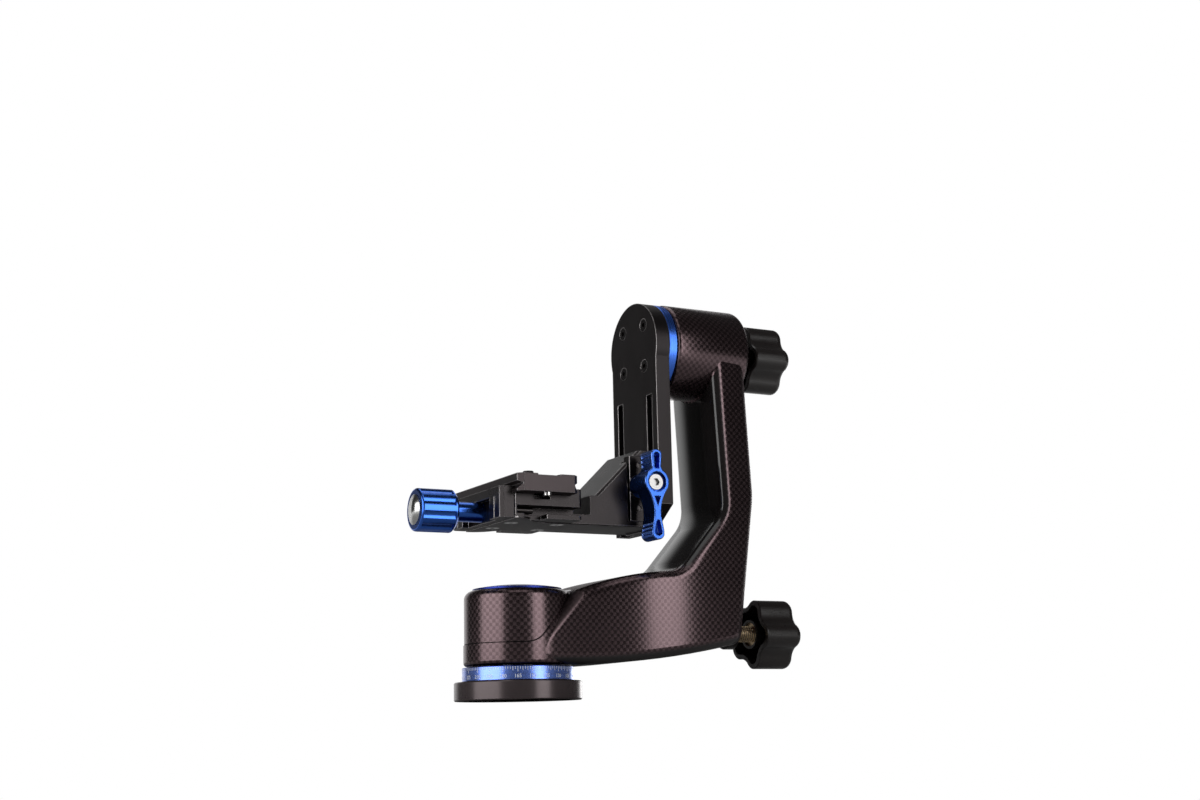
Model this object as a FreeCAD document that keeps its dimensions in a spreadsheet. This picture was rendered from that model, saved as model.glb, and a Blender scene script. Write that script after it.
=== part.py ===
import FreeCAD, Part
import math
import os
import Sketcher

# Gimbal tripod head, millimetres.
# Origin: centre of the base flange's underside, on the pan axis.
# +Z is up the pan axis, +X points from the pan axis to the upright of the arm,
# and -Y is the front, the way a lens on the plate looks.

Vector = FreeCAD.Vector

# Driving sizes: alias, value, meaning.
SIZES = [
    ("base_radius", 37.0, "base flange, outer radius"),
    ("base_height", 10.7, "base flange, thickness"),
    ("base_chamfer", 0.6, "base flange, edge chamfer"),
    ("stud_radius", 4.76, "tripod stud, 3/8 inch 16 turns"),
    ("stud_clear", 0.8, "room round the stud in the spindle"),
    ("stud_depth", 4.0, "room for the stud above the base flange"),
    ("bush_radius", 8.0, "threaded bush, body radius"),
    ("bush_flange", 2.7, "threaded bush, flange thickness"),
    ("bush_lip", 2.0, "threaded bush, flange beyond the body"),
    ("ring_radius", 32.3, "scale ring, outer radius"),
    ("ring_height", 8.2, "scale ring, height"),
    ("ring_wall", 5.3, "scale ring, wall"),
    ("hub_gap", 0.6, "gap between scale ring and arm"),
    ("hub_radius", 31.0, "pan hub, outer radius"),
    ("hub_height", 43.5, "pan hub, height"),
    ("hub_round", 5.0, "pan hub, shoulder rounding"),
    ("band_step", 0.5, "band round the foot of the hub, step outwards"),
    ("band_height", 12.25, "band round the foot of the hub, height"),
    ("band_round", 2.5, "band round the foot of the hub, lower rounding"),
    ("split_height", 0.6, "split line over the band, height"),
    ("split_depth", 0.5, "split line over the band, depth in the hub"),
    ("split_end", 6.0, "split line, upper end, reach"),
    ("cap_radius", 26.0, "hub cap, radius"),
    ("cap_rim", 1.0, "hub cap, rim height"),
    ("cap_dome", 2.4, "hub cap, rise of the dome"),
    ("shaft_radius", 10.0, "pan and tilt shaft, radius"),
    ("shoulder_radius", 13.0, "shaft shoulder, radius"),
    ("seat_lift", 2.5, "hub face to the first bearing"),
    ("bearing_radius", 18.5, "ball bearing, outer radius"),
    ("bearing_width", 9.0, "ball bearing, width"),
    ("bearing_spread", 16.0, "space between the two bearings of a hub"),
    ("race_wall", 2.7, "bearing race, wall"),
    ("shield_thick", 0.8, "bearing shield, thickness"),
    ("shield_gap", 0.2, "bearing shield, gap to the inner race"),
    ("collar_radius", 14.0, "brake collar, radius"),
    ("sleeve_wall", 3.0, "bearing sleeve, wall at the bearings"),
    ("sleeve_step", 1.5, "bearing sleeve, step between the bearings"),
    ("washer_thick", 1.2, "retaining washer, thickness"),
    ("nut_height", 5.0, "retaining nut, height"),
    ("nut_radius", 14.0, "retaining nut, radius"),
    ("nut_slot", 4.0, "retaining nut, spanner slot, width"),
    ("nut_slot_depth", 2.0, "retaining nut, spanner slot, depth"),
    ("slip", 0.05, "clearance of a sliding or running fit"),
    ("small_screw", 1.95, "small sunk screws, shank radius"),
    ("small_head", 3.8, "small sunk screws, head radius"),
    ("small_head_height", 2.0, "small sunk screws, head height"),
    ("small_key", 1.5, "small sunk screws, hexagon socket over its corners"),
    ("small_grip", 5.0, "small sunk screws, length in the second piece"),
    ("small_bottom", 0.5, "small sunk screws, hole beyond the end"),
    ("arm_root_reach", 2.0, "arm, inner end inside the pan hub, reach"),
    ("arm_root_width", 62.9, "arm, width across the front at the pan axis"),
    ("arm_width", 55.0, "arm, width across the front at the upright's bend"),
    ("arm_round", 6.0, "arm, rounding of the long edges"),
    ("arm_flat", 15.0, "arm underside, end of the level part"),
    ("arm_toe_inset", 13.0, "arm, lower outer corner, inside the bend's reach"),
    ("arm_toe_rise", 13.0, "arm, lower outer corner, rise"),
    ("arm_toe_round", 8.0, "arm, lower outer corner, rounding"),
    ("arm_bend_reach", 151.0, "arm, bend of the outer side, reach"),
    ("arm_bend_rise", 102.5, "arm, bend of the outer side, rise"),
    ("arm_bend_round", 60.0, "arm, bend of the outer side, rounding"),
    ("arm_lean", 4.3, "arm upright, lean inwards up to the tilt axis"),
    ("arm_depth", 23.7, "arm upright, thickness"),
    ("arm_top_round", 235.0, "arm top, radius between crease and elbow"),
    ("elbow_low_reach", 96.5, "elbow, lower corner, reach"),
    ("elbow_low_rise", 56.0, "elbow, lower corner, rise"),
    ("elbow_low_round", 20.0, "elbow, lower corner, rounding"),
    ("elbow_high_rise", 92.0, "elbow, upper corner, rise"),
    ("elbow_high_round", 21.0, "elbow, upper corner, rounding"),
    ("crease_foot_reach", 2.2, "crease, foot, beyond the pan axis"),
    ("crease_foot_round", 14.0, "crease, rounding at its foot"),
    ("crease_head_reach", 25.5, "crease, head, reach"),
    ("crease_head_rise", 42.6, "crease, head, rise"),
    ("crease_head_round", 9.0, "crease, rounding at its head"),
    ("tilt_height", 215.0, "tilt axis above the base"),
    ("tilt_hub_radius", 29.5, "tilt hub, outer radius"),
    ("tilt_hub_length", 51.8, "tilt hub, length"),
    ("tilt_hub_inset", 1.5, "tilt hub, outer face inside the bend's reach"),
    ("tilt_hub_round", 2.5, "tilt hub, edge rounding"),
    ("tilt_ring_radius", 29.0, "tilt ring, outer radius"),
    ("tilt_gap", 0.5, "gap between tilt ring and tilt hub"),
    ("tilt_ring_width", 5.8, "tilt ring, width"),
    ("plate_thick", 9.4, "swing plate, thickness"),
    ("plate_width", 55.0, "swing plate, width"),
    ("plate_foot", 100.0, "swing plate, lower end above the base"),
    ("plate_cut_back", 22.5, "swing plate, corner cut along the foot"),
    ("plate_cut_rise", 15.0, "swing plate, corner cut up the edge"),
    ("plate_groove_depth", 5.0, "swing plate, clamp groove, depth"),
    ("plate_groove_outer", 21.5, "swing plate, clamp groove, outer side from the middle"),
    ("rail_half", 15.0, "swing plate rail, half width at its face"),
    ("rail_undercut", 2.4, "swing plate rail, undercut"),
    ("groove_top", 183.0, "swing plate, upper end of the grooves"),
    ("knob_gap", 10.5, "lock knobs, inner rim beyond the tilt hub"),
    ("knob_length", 26.0, "lock knobs, length"),
    ("knob_radius", 21.9, "lock knobs, radius over the lobes"),
    ("knob_valley", 17.2, "lock knobs, radius between the lobes"),
    ("knob_lobe", 8.0, "lock knobs, radius of a lobe"),
    ("knob_count", 5.0, "lock knobs, lobes"),
    ("knob_turn", -12.0, "lock knobs, first lobe from straight down, degrees"),
    ("knob_wall", 3.0, "lock knobs, wall round the hollow"),
    ("knob_hollow", 17.0, "lock knobs, depth of the hollow"),
    ("knob_core", 9.0, "lock knobs, core round the insert"),
    ("knob_edge", 4.5, "lock knobs, rounding of the outer rim"),
    ("knob_lip", 0.6, "lock knobs, chamfer of the inner rim"),
    ("insert_radius", 7.5, "knob insert, radius"),
    ("insert_lead", 2.0, "knob insert, start inside the rim"),
    ("insert_length", 17.0, "knob insert, length"),
    ("lock_radius", 5.0, "lock screws, radius"),
    ("lock_height", 39.5, "pan lock screw above the base"),
    ("lock_inset", 14.0, "pan lock screw, inner end inside the arm's lower corner"),
    ("lock_bush_radius", 8.0, "pan lock bush, radius"),
    ("lock_bush_collar", 9.5, "lock bush collar, radius"),
    ("lock_collar_lead", 3.2, "pan lock bush, start of its collar beyond the arm's lower corner"),
    ("lock_bush_depth", 17.0, "pan lock bush, inner end inside the arm's lower corner"),
    ("lock_bush_proud", 9.0, "pan lock bush, outer end beyond the arm's lower corner"),
    ("rod_radius", 3.0, "push rod, radius"),
    ("rod_play", 0.3, "push rod and brake shoe, play in the arm"),
    ("lock_travel", 2.5, "lock screws, room for their travel"),
    ("shoe_radius", 6.0, "brake shoe, radius"),
    ("shoe_end", 25.0, "brake shoe, outer end, reach"),
    ("shoe_play", 0.2, "brake shoe, play at the collar"),
    ("pad_radius", 8.0, "tilt brake pad, radius"),
    ("pad_thick", 3.0, "tilt brake pad, thickness"),
    ("tilt_cap_thick", 3.5, "tilt end cap, part inside the hub"),
    ("tilt_cap_collar", 7.0, "tilt end cap, collar length"),
    ("bracket_half", 20.0, "bracket, half width"),
    ("bracket_foot", 101.0, "bracket, underside above the base"),
    ("bracket_bar", 6.0, "bracket, bar under the clamp, thickness"),
    ("bracket_tip", 17.0, "bracket, bar end beyond the pan axis"),
    ("bracket_wide_end", 4.0, "bracket, middle of the bar's widening, beyond the pan axis"),
    ("bracket_flange", 1.4, "bracket, thickness of the bar's widened end"),
    ("bracket_edge", 0.6, "bracket, chamfer of the lower edges"),
    ("bracket_slope_edge", 1.5, "bracket, chamfer of the slope's edges"),
    ("bracket_step", 43.3, "bracket, start of the thick part in front of the swing plate"),
    ("bracket_ledge_reach", 39.5, "bracket, foot of the slope in front of the swing plate"),
    ("bracket_ledge_rise", 17.5, "bracket, foot of the slope, rise"),
    ("bracket_top_reach", 10.0, "bracket, head of the slope in front of the swing plate"),
    ("bracket_top_rise", 46.5, "bracket, head of the slope, rise"),
    ("bracket_play", 0.3, "bracket, gap to the swing plate"),
    ("jaw_width", 16.0, "height jaw, inner side in front of the swing plate"),
    ("jaw_inset", 3.5, "height jaw, distance from bracket ends"),
    ("jaw_thick", 7.4, "height jaw, thickness"),
    ("jaw_gap", 1.6, "height jaw, gap to the bracket behind it"),
    ("jaw_room", 0.3, "height jaw, play in its room"),
    ("jaw_pin_spread", 13.0, "height jaw guide pins, distance from the lever's axis"),
    ("jaw_pin_radius", 1.45, "height jaw guide pins, radius"),
    ("jaw_pin_length", 18.0, "height jaw guide pins, length"),
    ("jaw_pin_sink", 0.8, "height jaw guide pins, end below the jaw's face"),
    ("lip_depth", 4.4, "clamp lips in the swing plate grooves, depth"),
    ("lip_thick", 3.6, "clamp lips, thickness at the tip"),
    ("lip_play", 0.35, "clamp lips, play to the rail"),
    ("lever_ahead", 9.6, "lever, axis in front of the swing plate"),
    ("lever_rise", 24.5, "lever, axis above the bracket's underside"),
    ("lever_face", 42.0, "lever, face in front of the pan axis"),
    ("lever_thick", 13.7, "lever, thickness of the wings"),
    ("lever_hub", 8.1, "lever, hub radius"),
    ("lever_boss", 7.2, "lever, boss radius"),
    ("lever_up", 19.5, "lever, short wing from the axis"),
    ("lever_down", 34.3, "lever, long wing from the axis"),
    ("lever_up_neck", 2.9, "lever, short wing, half width at its neck"),
    ("lever_up_neck_at", 9.2, "lever, short wing, neck from the axis"),
    ("lever_up_tip", 3.4, "lever, short wing, half width at its end"),
    ("lever_up_tip_at", 14.2, "lever, short wing, start of its end"),
    ("lever_down_neck", 2.3, "lever, long wing, half width at its neck"),
    ("lever_down_neck_at", 20.5, "lever, long wing, neck from the axis"),
    ("lever_down_tip", 4.0, "lever, long wing, half width at its end"),
    ("lever_down_tip_at", 28.8, "lever, long wing, start of its end"),
    ("lever_flare", 4.0, "lever, hollow between hub and short wing, radius"),
    ("lever_hollow", 24.0, "lever, hollow sides of the long wing, radius"),
    ("lever_edge", 0.45, "lever, chamfer round its face"),
    ("lever_wall", 1.3, "lever, wall beside its slots"),
    ("lever_slot_depth", 5.0, "lever, depth of its slots"),
    ("lever_slot_mid", 14.5, "lever, lower end of the middle slot"),
    ("lever_slot_low", 23.5, "lever, upper end of the lower slot"),
    ("lever_rib", 0.85, "lever, finger groove, radius"),
    ("lever_rib_out", 0.35, "lever, finger groove, middle outside the wing"),
    ("lever_rib_step", 2.6, "lever, finger grooves, spacing"),
    ("lever_rib_start", 3.8, "lever, first finger groove from the wing's end"),
    ("lever_screw_radius", 3.0, "lever screw, radius"),
    ("lever_head", 4.6, "lever screw, head radius"),
    ("lever_head_room", 1.4, "lever screw, room round the head"),
    ("lever_key", 2.4, "lever screw, hexagon socket over its corners"),
    ("lever_screw_end", 14.0, "lever screw, end behind the pan axis"),
    ("lever_head_height", 3.6, "lever screw, head height"),
    ("lever_sink", 1.6, "lever screw, head below the lever face"),
    ("lever_washer", 1.2, "lever washer, thickness"),
    ("clamp_half", 35.0, "clamp, half length front to back"),
    ("clamp_lift", 0.4, "clamp, underside above the bracket's underside"),
    ("clamp_height", 14.1, "clamp, floor under the plate above its underside"),
    ("clamp_lip_rise", 3.8, "clamp, top of the jaws above the floor"),
    ("clamp_left", 17.0, "clamp body, left side beyond the pan axis"),
    ("clamp_right", 26.0, "clamp body, right side"),
    ("clamp_slot_low", 2.6, "clamp front hollow, height above its foot"),
    ("clamp_slot_high", 7.4, "clamp front hollow, top above its foot"),
    ("clamp_slot_depth", 12.0, "clamp front hollow, depth"),
    ("clamp_slot_wall", 1.0, "clamp front hollow, wall at its left end"),
    ("clamp_gap_left", 11.5, "clamp lower plate, left side of its gap beyond the pan axis"),
    ("clamp_gap_right", 3.0, "clamp lower plate, right side of its gap"),
    ("clamp_gap_depth", 8.0, "clamp lower plate, depth of its gap"),
    ("clamp_corner", 2.0, "clamp, chamfer of its upright corners"),
    ("notch_half", 5.0, "clamp notch for the stop screws, half width"),
    ("notch_depth", 8.0, "clamp notch for the stop screws, length"),
    ("qr_left", 26.0, "moving jaw, outer side beyond the pan axis"),
    ("qr_gap", 0.7, "moving jaw, gap to the clamp body"),
    ("qr_pocket_half", 19.5, "moving jaw, pocket round the neck, half length"),
    ("qr_pocket_depth", 4.0, "moving jaw, pocket round the neck, depth"),
    ("qr_rib_at", 26.3, "moving jaw, upright groove beside the pocket, from the screw"),
    ("qr_rib_width", 1.6, "moving jaw, upright groove, width"),
    ("qr_rib_depth", 1.2, "moving jaw, upright groove, depth"),
    ("qr_screw_rise", 7.0, "clamp screw above the bracket's underside"),
    ("qr_screw_radius", 3.0, "clamp screw, radius"),
    ("qr_screw_end", 14.0, "clamp screw, inner end, reach"),
    ("qr_pin_radius", 2.0, "clamp guide pins, radius"),
    ("qr_pin_offset", 25.0, "clamp guide pins, distance from the screw"),
    ("qr_pin_rise", 6.0, "clamp guide pins above the bracket's underside"),
    ("qr_pin_end", 2.0, "clamp guide pins, inner end beyond the pan axis"),
    ("qr_knob_root", 41.0, "clamp knob, inner end beyond the pan axis"),
    ("qr_knob_end", 64.2, "clamp knob, outer end beyond the pan axis"),
    ("qr_knob_radius", 12.5, "clamp knob, radius"),
    ("qr_flute_radius", 4.2, "clamp knob, flute radius"),
    ("qr_flute_count", 10.0, "clamp knob, flutes"),
    ("qr_flute_depth", 0.9, "clamp knob, flute depth"),
    ("qr_neck_radius", 5.8, "clamp knob, neck radius"),
    ("qr_neck_length", 10.0, "clamp knob, neck length"),
    ("qr_cap_radius", 8.8, "clamp knob end cap, radius"),
    ("qr_cap_dome", 1.4, "clamp knob end cap, rise"),
    ("qr_cap_depth", 2.5, "clamp knob end cap, depth in the knob"),
    ("lens_plate_half", 19.0, "lens plate, half width"),
    ("lens_plate_front", 45.0, "lens plate, front end"),
    ("lens_plate_back", 55.0, "lens plate, back end"),
    ("lens_plate_thick", 10.2, "lens plate, thickness"),
    ("lens_plate_edge", 1.3, "lens plate, lower edge height"),
    ("lens_plate_waist", 2.7, "lens plate, depth of the waist"),
    ("lens_plate_top", 4.2, "lens plate, height of the upper slab"),
    ("lens_plate_corner", 3.0, "lens plate, chamfer of the corners"),
    ("lens_channel_half", 7.2, "lens plate, channel between the pads, half width"),
    ("lens_channel_depth", 0.8, "lens plate, channel between the pads, depth"),
    ("lens_slot_radius", 3.4, "lens plate, slot half width"),
    ("lens_slot_half", 34.0, "lens plate, slot half length"),
    ("lens_recess_depth", 4.4, "lens plate, depth of the heads' recess"),
    ("lens_recess_play", 0.6, "lens plate, recess beyond the heads"),
    ("lens_screw_radius", 3.17, "lens screws, thread radius, 1/4 inch"),
    ("lens_screw_neck", 2.4, "lens screws, neck in the slot, radius"),
    ("lens_screw_head", 6.5, "lens screws, head radius"),
    ("lens_head_height", 3.6, "lens screws, head height"),
    ("lens_key_radius", 3.2, "lens screws, hexagon socket over its corners"),
    ("lens_key_depth", 2.4, "lens screws, hexagon socket, depth"),
    ("lens_thread_lift", 0.3, "lens screws, thread start above the pads"),
    ("lens_thread_edge", 0.3, "lens screws, chamfer of the thread's end"),
    ("lens_screw_spread", 22.0, "lens screws, distance from the plate's middle"),
    ("lens_screw_stand", 5.5, "lens screws, thread above the plate"),
    ("pad_half", 16.0, "rubber pads, outer edge from the middle"),
    ("pad_inset", 5.0, "rubber pads, distance from the plate's ends"),
    ("pad_slot", 8.2, "rubber pads, inner edge from the middle"),
    ("rubber_thick", 1.2, "rubber pads, thickness"),
    ("rubber_proud", 0.5, "rubber pads, height above the plate"),
    ("stop_radius", 2.6, "stop screws, head radius"),
    ("stop_height", 1.9, "stop screws, head height"),
    ("stop_shank", 1.45, "stop screws, shank radius"),
    ("stop_reach", 3.8, "stop screws, length in the plate"),
    ("stop_key", 1.2, "stop screws, hexagon socket over its corners"),
    ("stop_inset", 3.6, "stop screws, distance from the plate's ends"),
]


class Length:
    """A size: its number now, and the expression that binds it to the sheet."""

    def __init__(self, value, text):
        self.value = float(value)
        self.text = text

    def __add__(self, other):
        other = length(other)
        return Length(self.value + other.value, "(%s + %s)" % (self.text, other.text))

    def __sub__(self, other):
        other = length(other)
        return Length(self.value - other.value, "(%s - %s)" % (self.text, other.text))

    def __mul__(self, other):
        other = length(other)
        return Length(self.value * other.value, "(%s * %s)" % (self.text, other.text))

    def __truediv__(self, other):
        other = length(other)
        return Length(self.value / other.value, "(%s / %s)" % (self.text, other.text))

    def __radd__(self, other):
        return length(other) + self

    def __rsub__(self, other):
        return length(other) - self

    def __rmul__(self, other):
        return length(other) * self

    def __neg__(self):
        return Length(-self.value, "(0 - %s)" % self.text)


def length(value):
    """A plain number as a Length."""
    return value if isinstance(value, Length) else Length(value, repr(float(value)))


def square(value):
    """A length times itself, kept short in the sheet's terms."""
    return Length(value.value ** 2, "pow(%s; 2)" % value.text)


class Sheet:
    """The spreadsheet; each alias reads as a Length, as in size.hub_radius."""

    def __init__(self, doc):
        self.cells = doc.addObject("Spreadsheet::Sheet", "Sizes")
        self.numbers = {}
        for row, (alias, value, meaning) in enumerate(SIZES, 1):
            self.cells.set("A%d" % row, meaning)
            self.cells.set("B%d" % row, repr(value))
            self.cells.setAlias("B%d" % row, alias)
            self.numbers[alias] = value

    def __getattr__(self, alias):
        return Length(self.numbers[alias], "Sizes." + alias)


doc = FreeCAD.newDocument("GimbalHead")
size = Sheet(doc)
doc.recompute()
sub_parts = []

ALONG_X = FreeCAD.Rotation(Vector(0, 1, 0), 90)
AGAINST_X = FreeCAD.Rotation(Vector(0, 1, 0), -90)
ALONG_Y = FreeCAD.Rotation(Vector(1, 0, 0), -90)
AGAINST_Y = FreeCAD.Rotation(Vector(1, 0, 0), 90)
AGAINST_Z = FreeCAD.Rotation(Vector(1, 0, 0), 180)
UPRIGHT = FreeCAD.Rotation()


def bind(obj, prop, value):
    """Sets a size of an object from the sheet."""
    value = length(value)
    obj.setExpression(prop, value.text)


def place(obj, x=0, y=0, z=0, rotation=UPRIGHT):
    """Puts an object at a point given in sizes."""
    point = [length(v) for v in (x, y, z)]
    obj.Placement = FreeCAD.Placement(Vector(*[v.value for v in point]), rotation)
    for name, value in zip("xyz", point):
        obj.setExpression("Placement.Base." + name, value.text)
    return obj


def sub_part(obj, label):
    """Names a finished piece and keeps it for export."""
    obj.Label = label
    sub_parts.append(obj)
    return obj


# ---- sketches -------------------------------------------------------------

def pin_point(sketch, geometry, end, x, y):
    """Ties one end of a line or arc to its place."""
    for kind, value, axis in (("DistanceX", x, -2), ("DistanceY", y, -1)):
        value = length(value)
        if value.text == "0.0":
            sketch.addConstraint(Sketcher.Constraint("PointOnObject", geometry, end, axis))
            continue
        row = sketch.addConstraint(
            Sketcher.Constraint(kind, -1, 1, geometry, end, value.value))
        sketch.setExpression("Constraints[%d]" % row, value.text)


def arc_between(start, end, radius, side):
    """Arc from start to end; side +1 bulges to the right of the way, -1 to the left."""
    middle = (start + end) * 0.5
    half = (end - start).Length * 0.5
    rise = math.sqrt(max(radius * radius - half * half, 0.0))
    left = Vector(-(end - start).y, (end - start).x, 0).normalize()
    centre = middle + left * (rise * side)
    first, last = (start, end) if side > 0 else (end, start)
    circle = Part.Circle(centre, Vector(0, 0, 1), radius)
    return Part.ArcOfCircle(circle, circle.parameter(first), circle.parameter(last))


def outline(sketch, points, arcs=None):
    """Closed outline through the points; arcs maps an edge's number to (radius, side)."""
    arcs = arcs or {}
    points = [(length(x), length(y)) for x, y in points]
    count = len(points)
    ends = []
    for i in range(count):
        start = Vector(points[i][0].value, points[i][1].value, 0)
        after = points[(i + 1) % count]
        end = Vector(after[0].value, after[1].value, 0)
        if i in arcs:
            radius, side = arcs[i]
            radius = length(radius)
            row = sketch.addGeometry(arc_between(start, end, radius.value, side), False)
            ends.append((row, 1, 2) if side > 0 else (row, 2, 1))
        else:
            row = sketch.addGeometry(Part.LineSegment(start, end), False)
            ends.append((row, 1, 2))
    for i in range(count):
        row, first, last = ends[i]
        after_row, after_first, after_last = ends[(i + 1) % count]
        sketch.addConstraint(Sketcher.Constraint("Coincident", row, last, after_row, after_first))
        pin_point(sketch, row, first, points[i][0], points[i][1])
    for i, (radius, side) in arcs.items():
        radius = length(radius)
        row = sketch.addConstraint(Sketcher.Constraint("Radius", ends[i][0], radius.value))
        sketch.setExpression("Constraints[%d]" % row, radius.text)


def circle(sketch, x, y, radius):
    """A bound circle in a sketch."""
    x, y, radius = length(x), length(y), length(radius)
    centre = Vector(x.value, y.value, 0)
    row = sketch.addGeometry(Part.Circle(centre, Vector(0, 0, 1), radius.value), False)
    pin_point(sketch, row, 3, x, y)
    rule = sketch.addConstraint(Sketcher.Constraint("Radius", row, radius.value))
    sketch.setExpression("Constraints[%d]" % rule, radius.text)


def sketch_on(body, plane, name):
    """A sketch on one of the body's own origin planes."""
    sketch = body.newObject("Sketcher::SketchObject", name)
    face = [f for f in body.Origin.OriginFeatures if f.Role == plane][0]
    sketch.AttachmentSupport = [(face, "")]
    sketch.MapMode = "FlatFace"
    return sketch


# ---- solids ---------------------------------------------------------------

def turned(name, points, arcs=None):
    """A body turned about its own Z axis; points are (radius, height)."""
    body = doc.addObject("PartDesign::Body", name)
    sketch = sketch_on(body, "XZ_Plane", name + "_profile")
    outline(sketch, points, arcs)
    turn = body.newObject("PartDesign::Revolution", name + "_turn")
    turn.Profile = sketch
    turn.ReferenceAxis = (sketch, ["V_Axis"])
    turn.Angle = 360
    sketch.Visibility = False
    return body


def tube(name, inner, outer, low, high):
    """A plain turned ring or cylinder."""
    return turned(name, [(inner, low), (outer, low), (outer, high), (inner, high)])


def padded(name, plane, points, arcs, thick, middle=True, offset=0):
    """A body padded from an outline, to both sides of the plane or from an offset."""
    body = doc.addObject("PartDesign::Body", name)
    sketch = sketch_on(body, plane, name + "_outline")
    outline(sketch, points, arcs)
    if not middle:
        sketch.setExpression("AttachmentOffset.Base.z", length(offset).text)
    pad = body.newObject("PartDesign::Pad", name + "_pad")
    pad.Profile = sketch
    pad.Midplane = middle
    bind(pad, "Length", thick)
    sketch.Visibility = False
    doc.recompute()
    return body


def rounded(body, radius, picks, name, kind="Fillet"):
    """Fillets or chamfers the edges of the body's tip that picks() accepts."""
    tip = body.Tip
    edges = ["Edge%d" % (i + 1) for i, edge in enumerate(tip.Shape.Edges) if picks(edge)]
    feature = body.newObject("PartDesign::" + kind, name)
    feature.Base = (tip, edges)
    bind(feature, "Radius" if kind == "Fillet" else "Size", radius)
    doc.recompute()
    return body


def box(name, low, high):
    """A block between two corners."""
    block = doc.addObject("Part::Box", name)
    low = [length(v) for v in low]
    high = [length(v) for v in high]
    for prop, a, b in zip(("Length", "Width", "Height"), low, high):
        bind(block, prop, b - a)
    return place(block, *low)


def rod(name, radius, reach, x=0, y=0, z=0, rotation=UPRIGHT):
    """A cylinder that starts at a point and runs along the rotated Z axis."""
    cylinder = doc.addObject("Part::Cylinder", name)
    bind(cylinder, "Radius", radius)
    bind(cylinder, "Height", reach)
    return place(cylinder, x, y, z, rotation)


def cone(name, low_radius, high_radius, reach, x=0, y=0, z=0, rotation=UPRIGHT):
    """A cone frustum that starts at a point."""
    shape = doc.addObject("Part::Cone", name)
    bind(shape, "Radius1", low_radius)
    bind(shape, "Radius2", high_radius)
    bind(shape, "Height", reach)
    return place(shape, x, y, z, rotation)


def hexagon(name, radius, reach, x=0, y=0, z=0, rotation=UPRIGHT):
    """A six-sided prism, for sockets."""
    prism = doc.addObject("Part::Prism", name)
    prism.Polygon = 6
    bind(prism, "Circumradius", radius)
    bind(prism, "Height", reach)
    return place(prism, x, y, z, rotation)


def joined(name, *pieces):
    """Union of pieces."""
    union = doc.addObject("Part::MultiFuse", name)
    union.Shapes = list(pieces)
    union.Refine = True
    return union


def cut(name, base, *tools):
    """Base less the tools."""
    difference = doc.addObject("Part::Cut", name)
    difference.Base = base
    difference.Tool = tools[0] if len(tools) == 1 else group(name + "_tools", *tools)
    difference.Refine = True
    return difference


def common(name, first, second):
    """What two pieces share."""
    shared = doc.addObject("Part::Common", name)
    shared.Base = first
    shared.Tool = second
    return shared


def group(name, *pieces):
    """Like solids kept together in one node."""
    compound = doc.addObject("Part::Compound", name)
    compound.Links = list(pieces)
    return compound


def screw(name, radius, reach, head_radius, head_height, socket, x=0, y=0, z=0,
          rotation=UPRIGHT, sunk=False):
    """A socket screw: head outside the point, shank along the rotated Z axis.

    A sunk screw has a cone head that ends flush with the point.
    """
    if sunk:
        head = cone(name + "_head", head_radius, radius, head_height)
        floor = 0
    else:
        head = rod(name + "_head", head_radius, head_height, z=-length(head_height))
        floor = -length(head_height)
    shank = rod(name + "_shank", radius, reach)
    key = hexagon(name + "_key", socket, length(head_height) * 0.6, z=floor)
    whole = cut(name, joined(name + "_blank", head, shank), key)
    return place(whole, x, y, z, rotation)


def small_screw(name, reach, x=0, y=0, z=0, rotation=UPRIGHT):
    """One of the small sunk screws, its head flush with the point."""
    return screw(name, size.small_screw, reach, size.small_head, size.small_head_height,
                 size.small_key, x, y, z, rotation, sunk=True)


def small_thread(name, reach, x=0, y=0, z=0, rotation=UPRIGHT):
    """Hole for a small screw's shank."""
    return rod(name, size.small_screw + size.slip, reach + size.small_bottom, x, y, z, rotation)


def small_sink(name, x=0, y=0, z=0, rotation=UPRIGHT):
    """Cone for a small screw's head."""
    return cone(name, size.small_head + 2 * size.slip, size.small_screw,
                size.small_head_height + size.slip, x, y, z, rotation)


def around(count):
    """Angles of evenly spaced copies, in radians."""
    return [2.0 * math.pi * i / count for i in range(count)]


# ---- levels shared by several pieces ---------------------------------------

spindle_flange = size.ring_radius - size.ring_wall
arm_bottom = size.base_height + size.ring_height + size.hub_gap
seat_one = arm_bottom + size.seat_lift
seat_two = seat_one + size.bearing_width + size.bearing_spread
seat_end = seat_two + size.bearing_width
hub_top = arm_bottom + size.hub_height
nut_seat = seat_end + size.washer_thick
nut_end = nut_seat + size.nut_height
sleeve_radius = size.bearing_radius + size.sleeve_wall
arm_toe = size.arm_bend_reach - size.arm_toe_inset
tilt_hub_end = size.arm_bend_reach - size.tilt_hub_inset
tilt_hub_start = tilt_hub_end - size.tilt_hub_length
plate_start = tilt_hub_start - size.tilt_gap - size.tilt_ring_width - size.plate_thick
knob_start = tilt_hub_end + size.knob_gap
lock_start = arm_toe - size.lock_inset
bush_start = arm_toe - size.lock_bush_depth
bush_end = arm_toe + size.lock_bush_proud
jaw_start = plate_start - size.jaw_width
lever_start = plate_start - size.lever_ahead
slope_head = plate_start - size.bracket_top_reach
ledge = plate_start - size.bracket_ledge_reach
lever_axis = size.bracket_foot + size.lever_rise
clamp_foot = size.bracket_foot + size.clamp_lift
clamp_floor = clamp_foot + size.clamp_height
clamp_screw_axis = size.bracket_foot + size.qr_screw_rise
clamp_pin_axis = size.bracket_foot + size.qr_pin_rise
tilt_stack = size.seat_lift + 2 * size.bearing_width + size.bearing_spread


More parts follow.
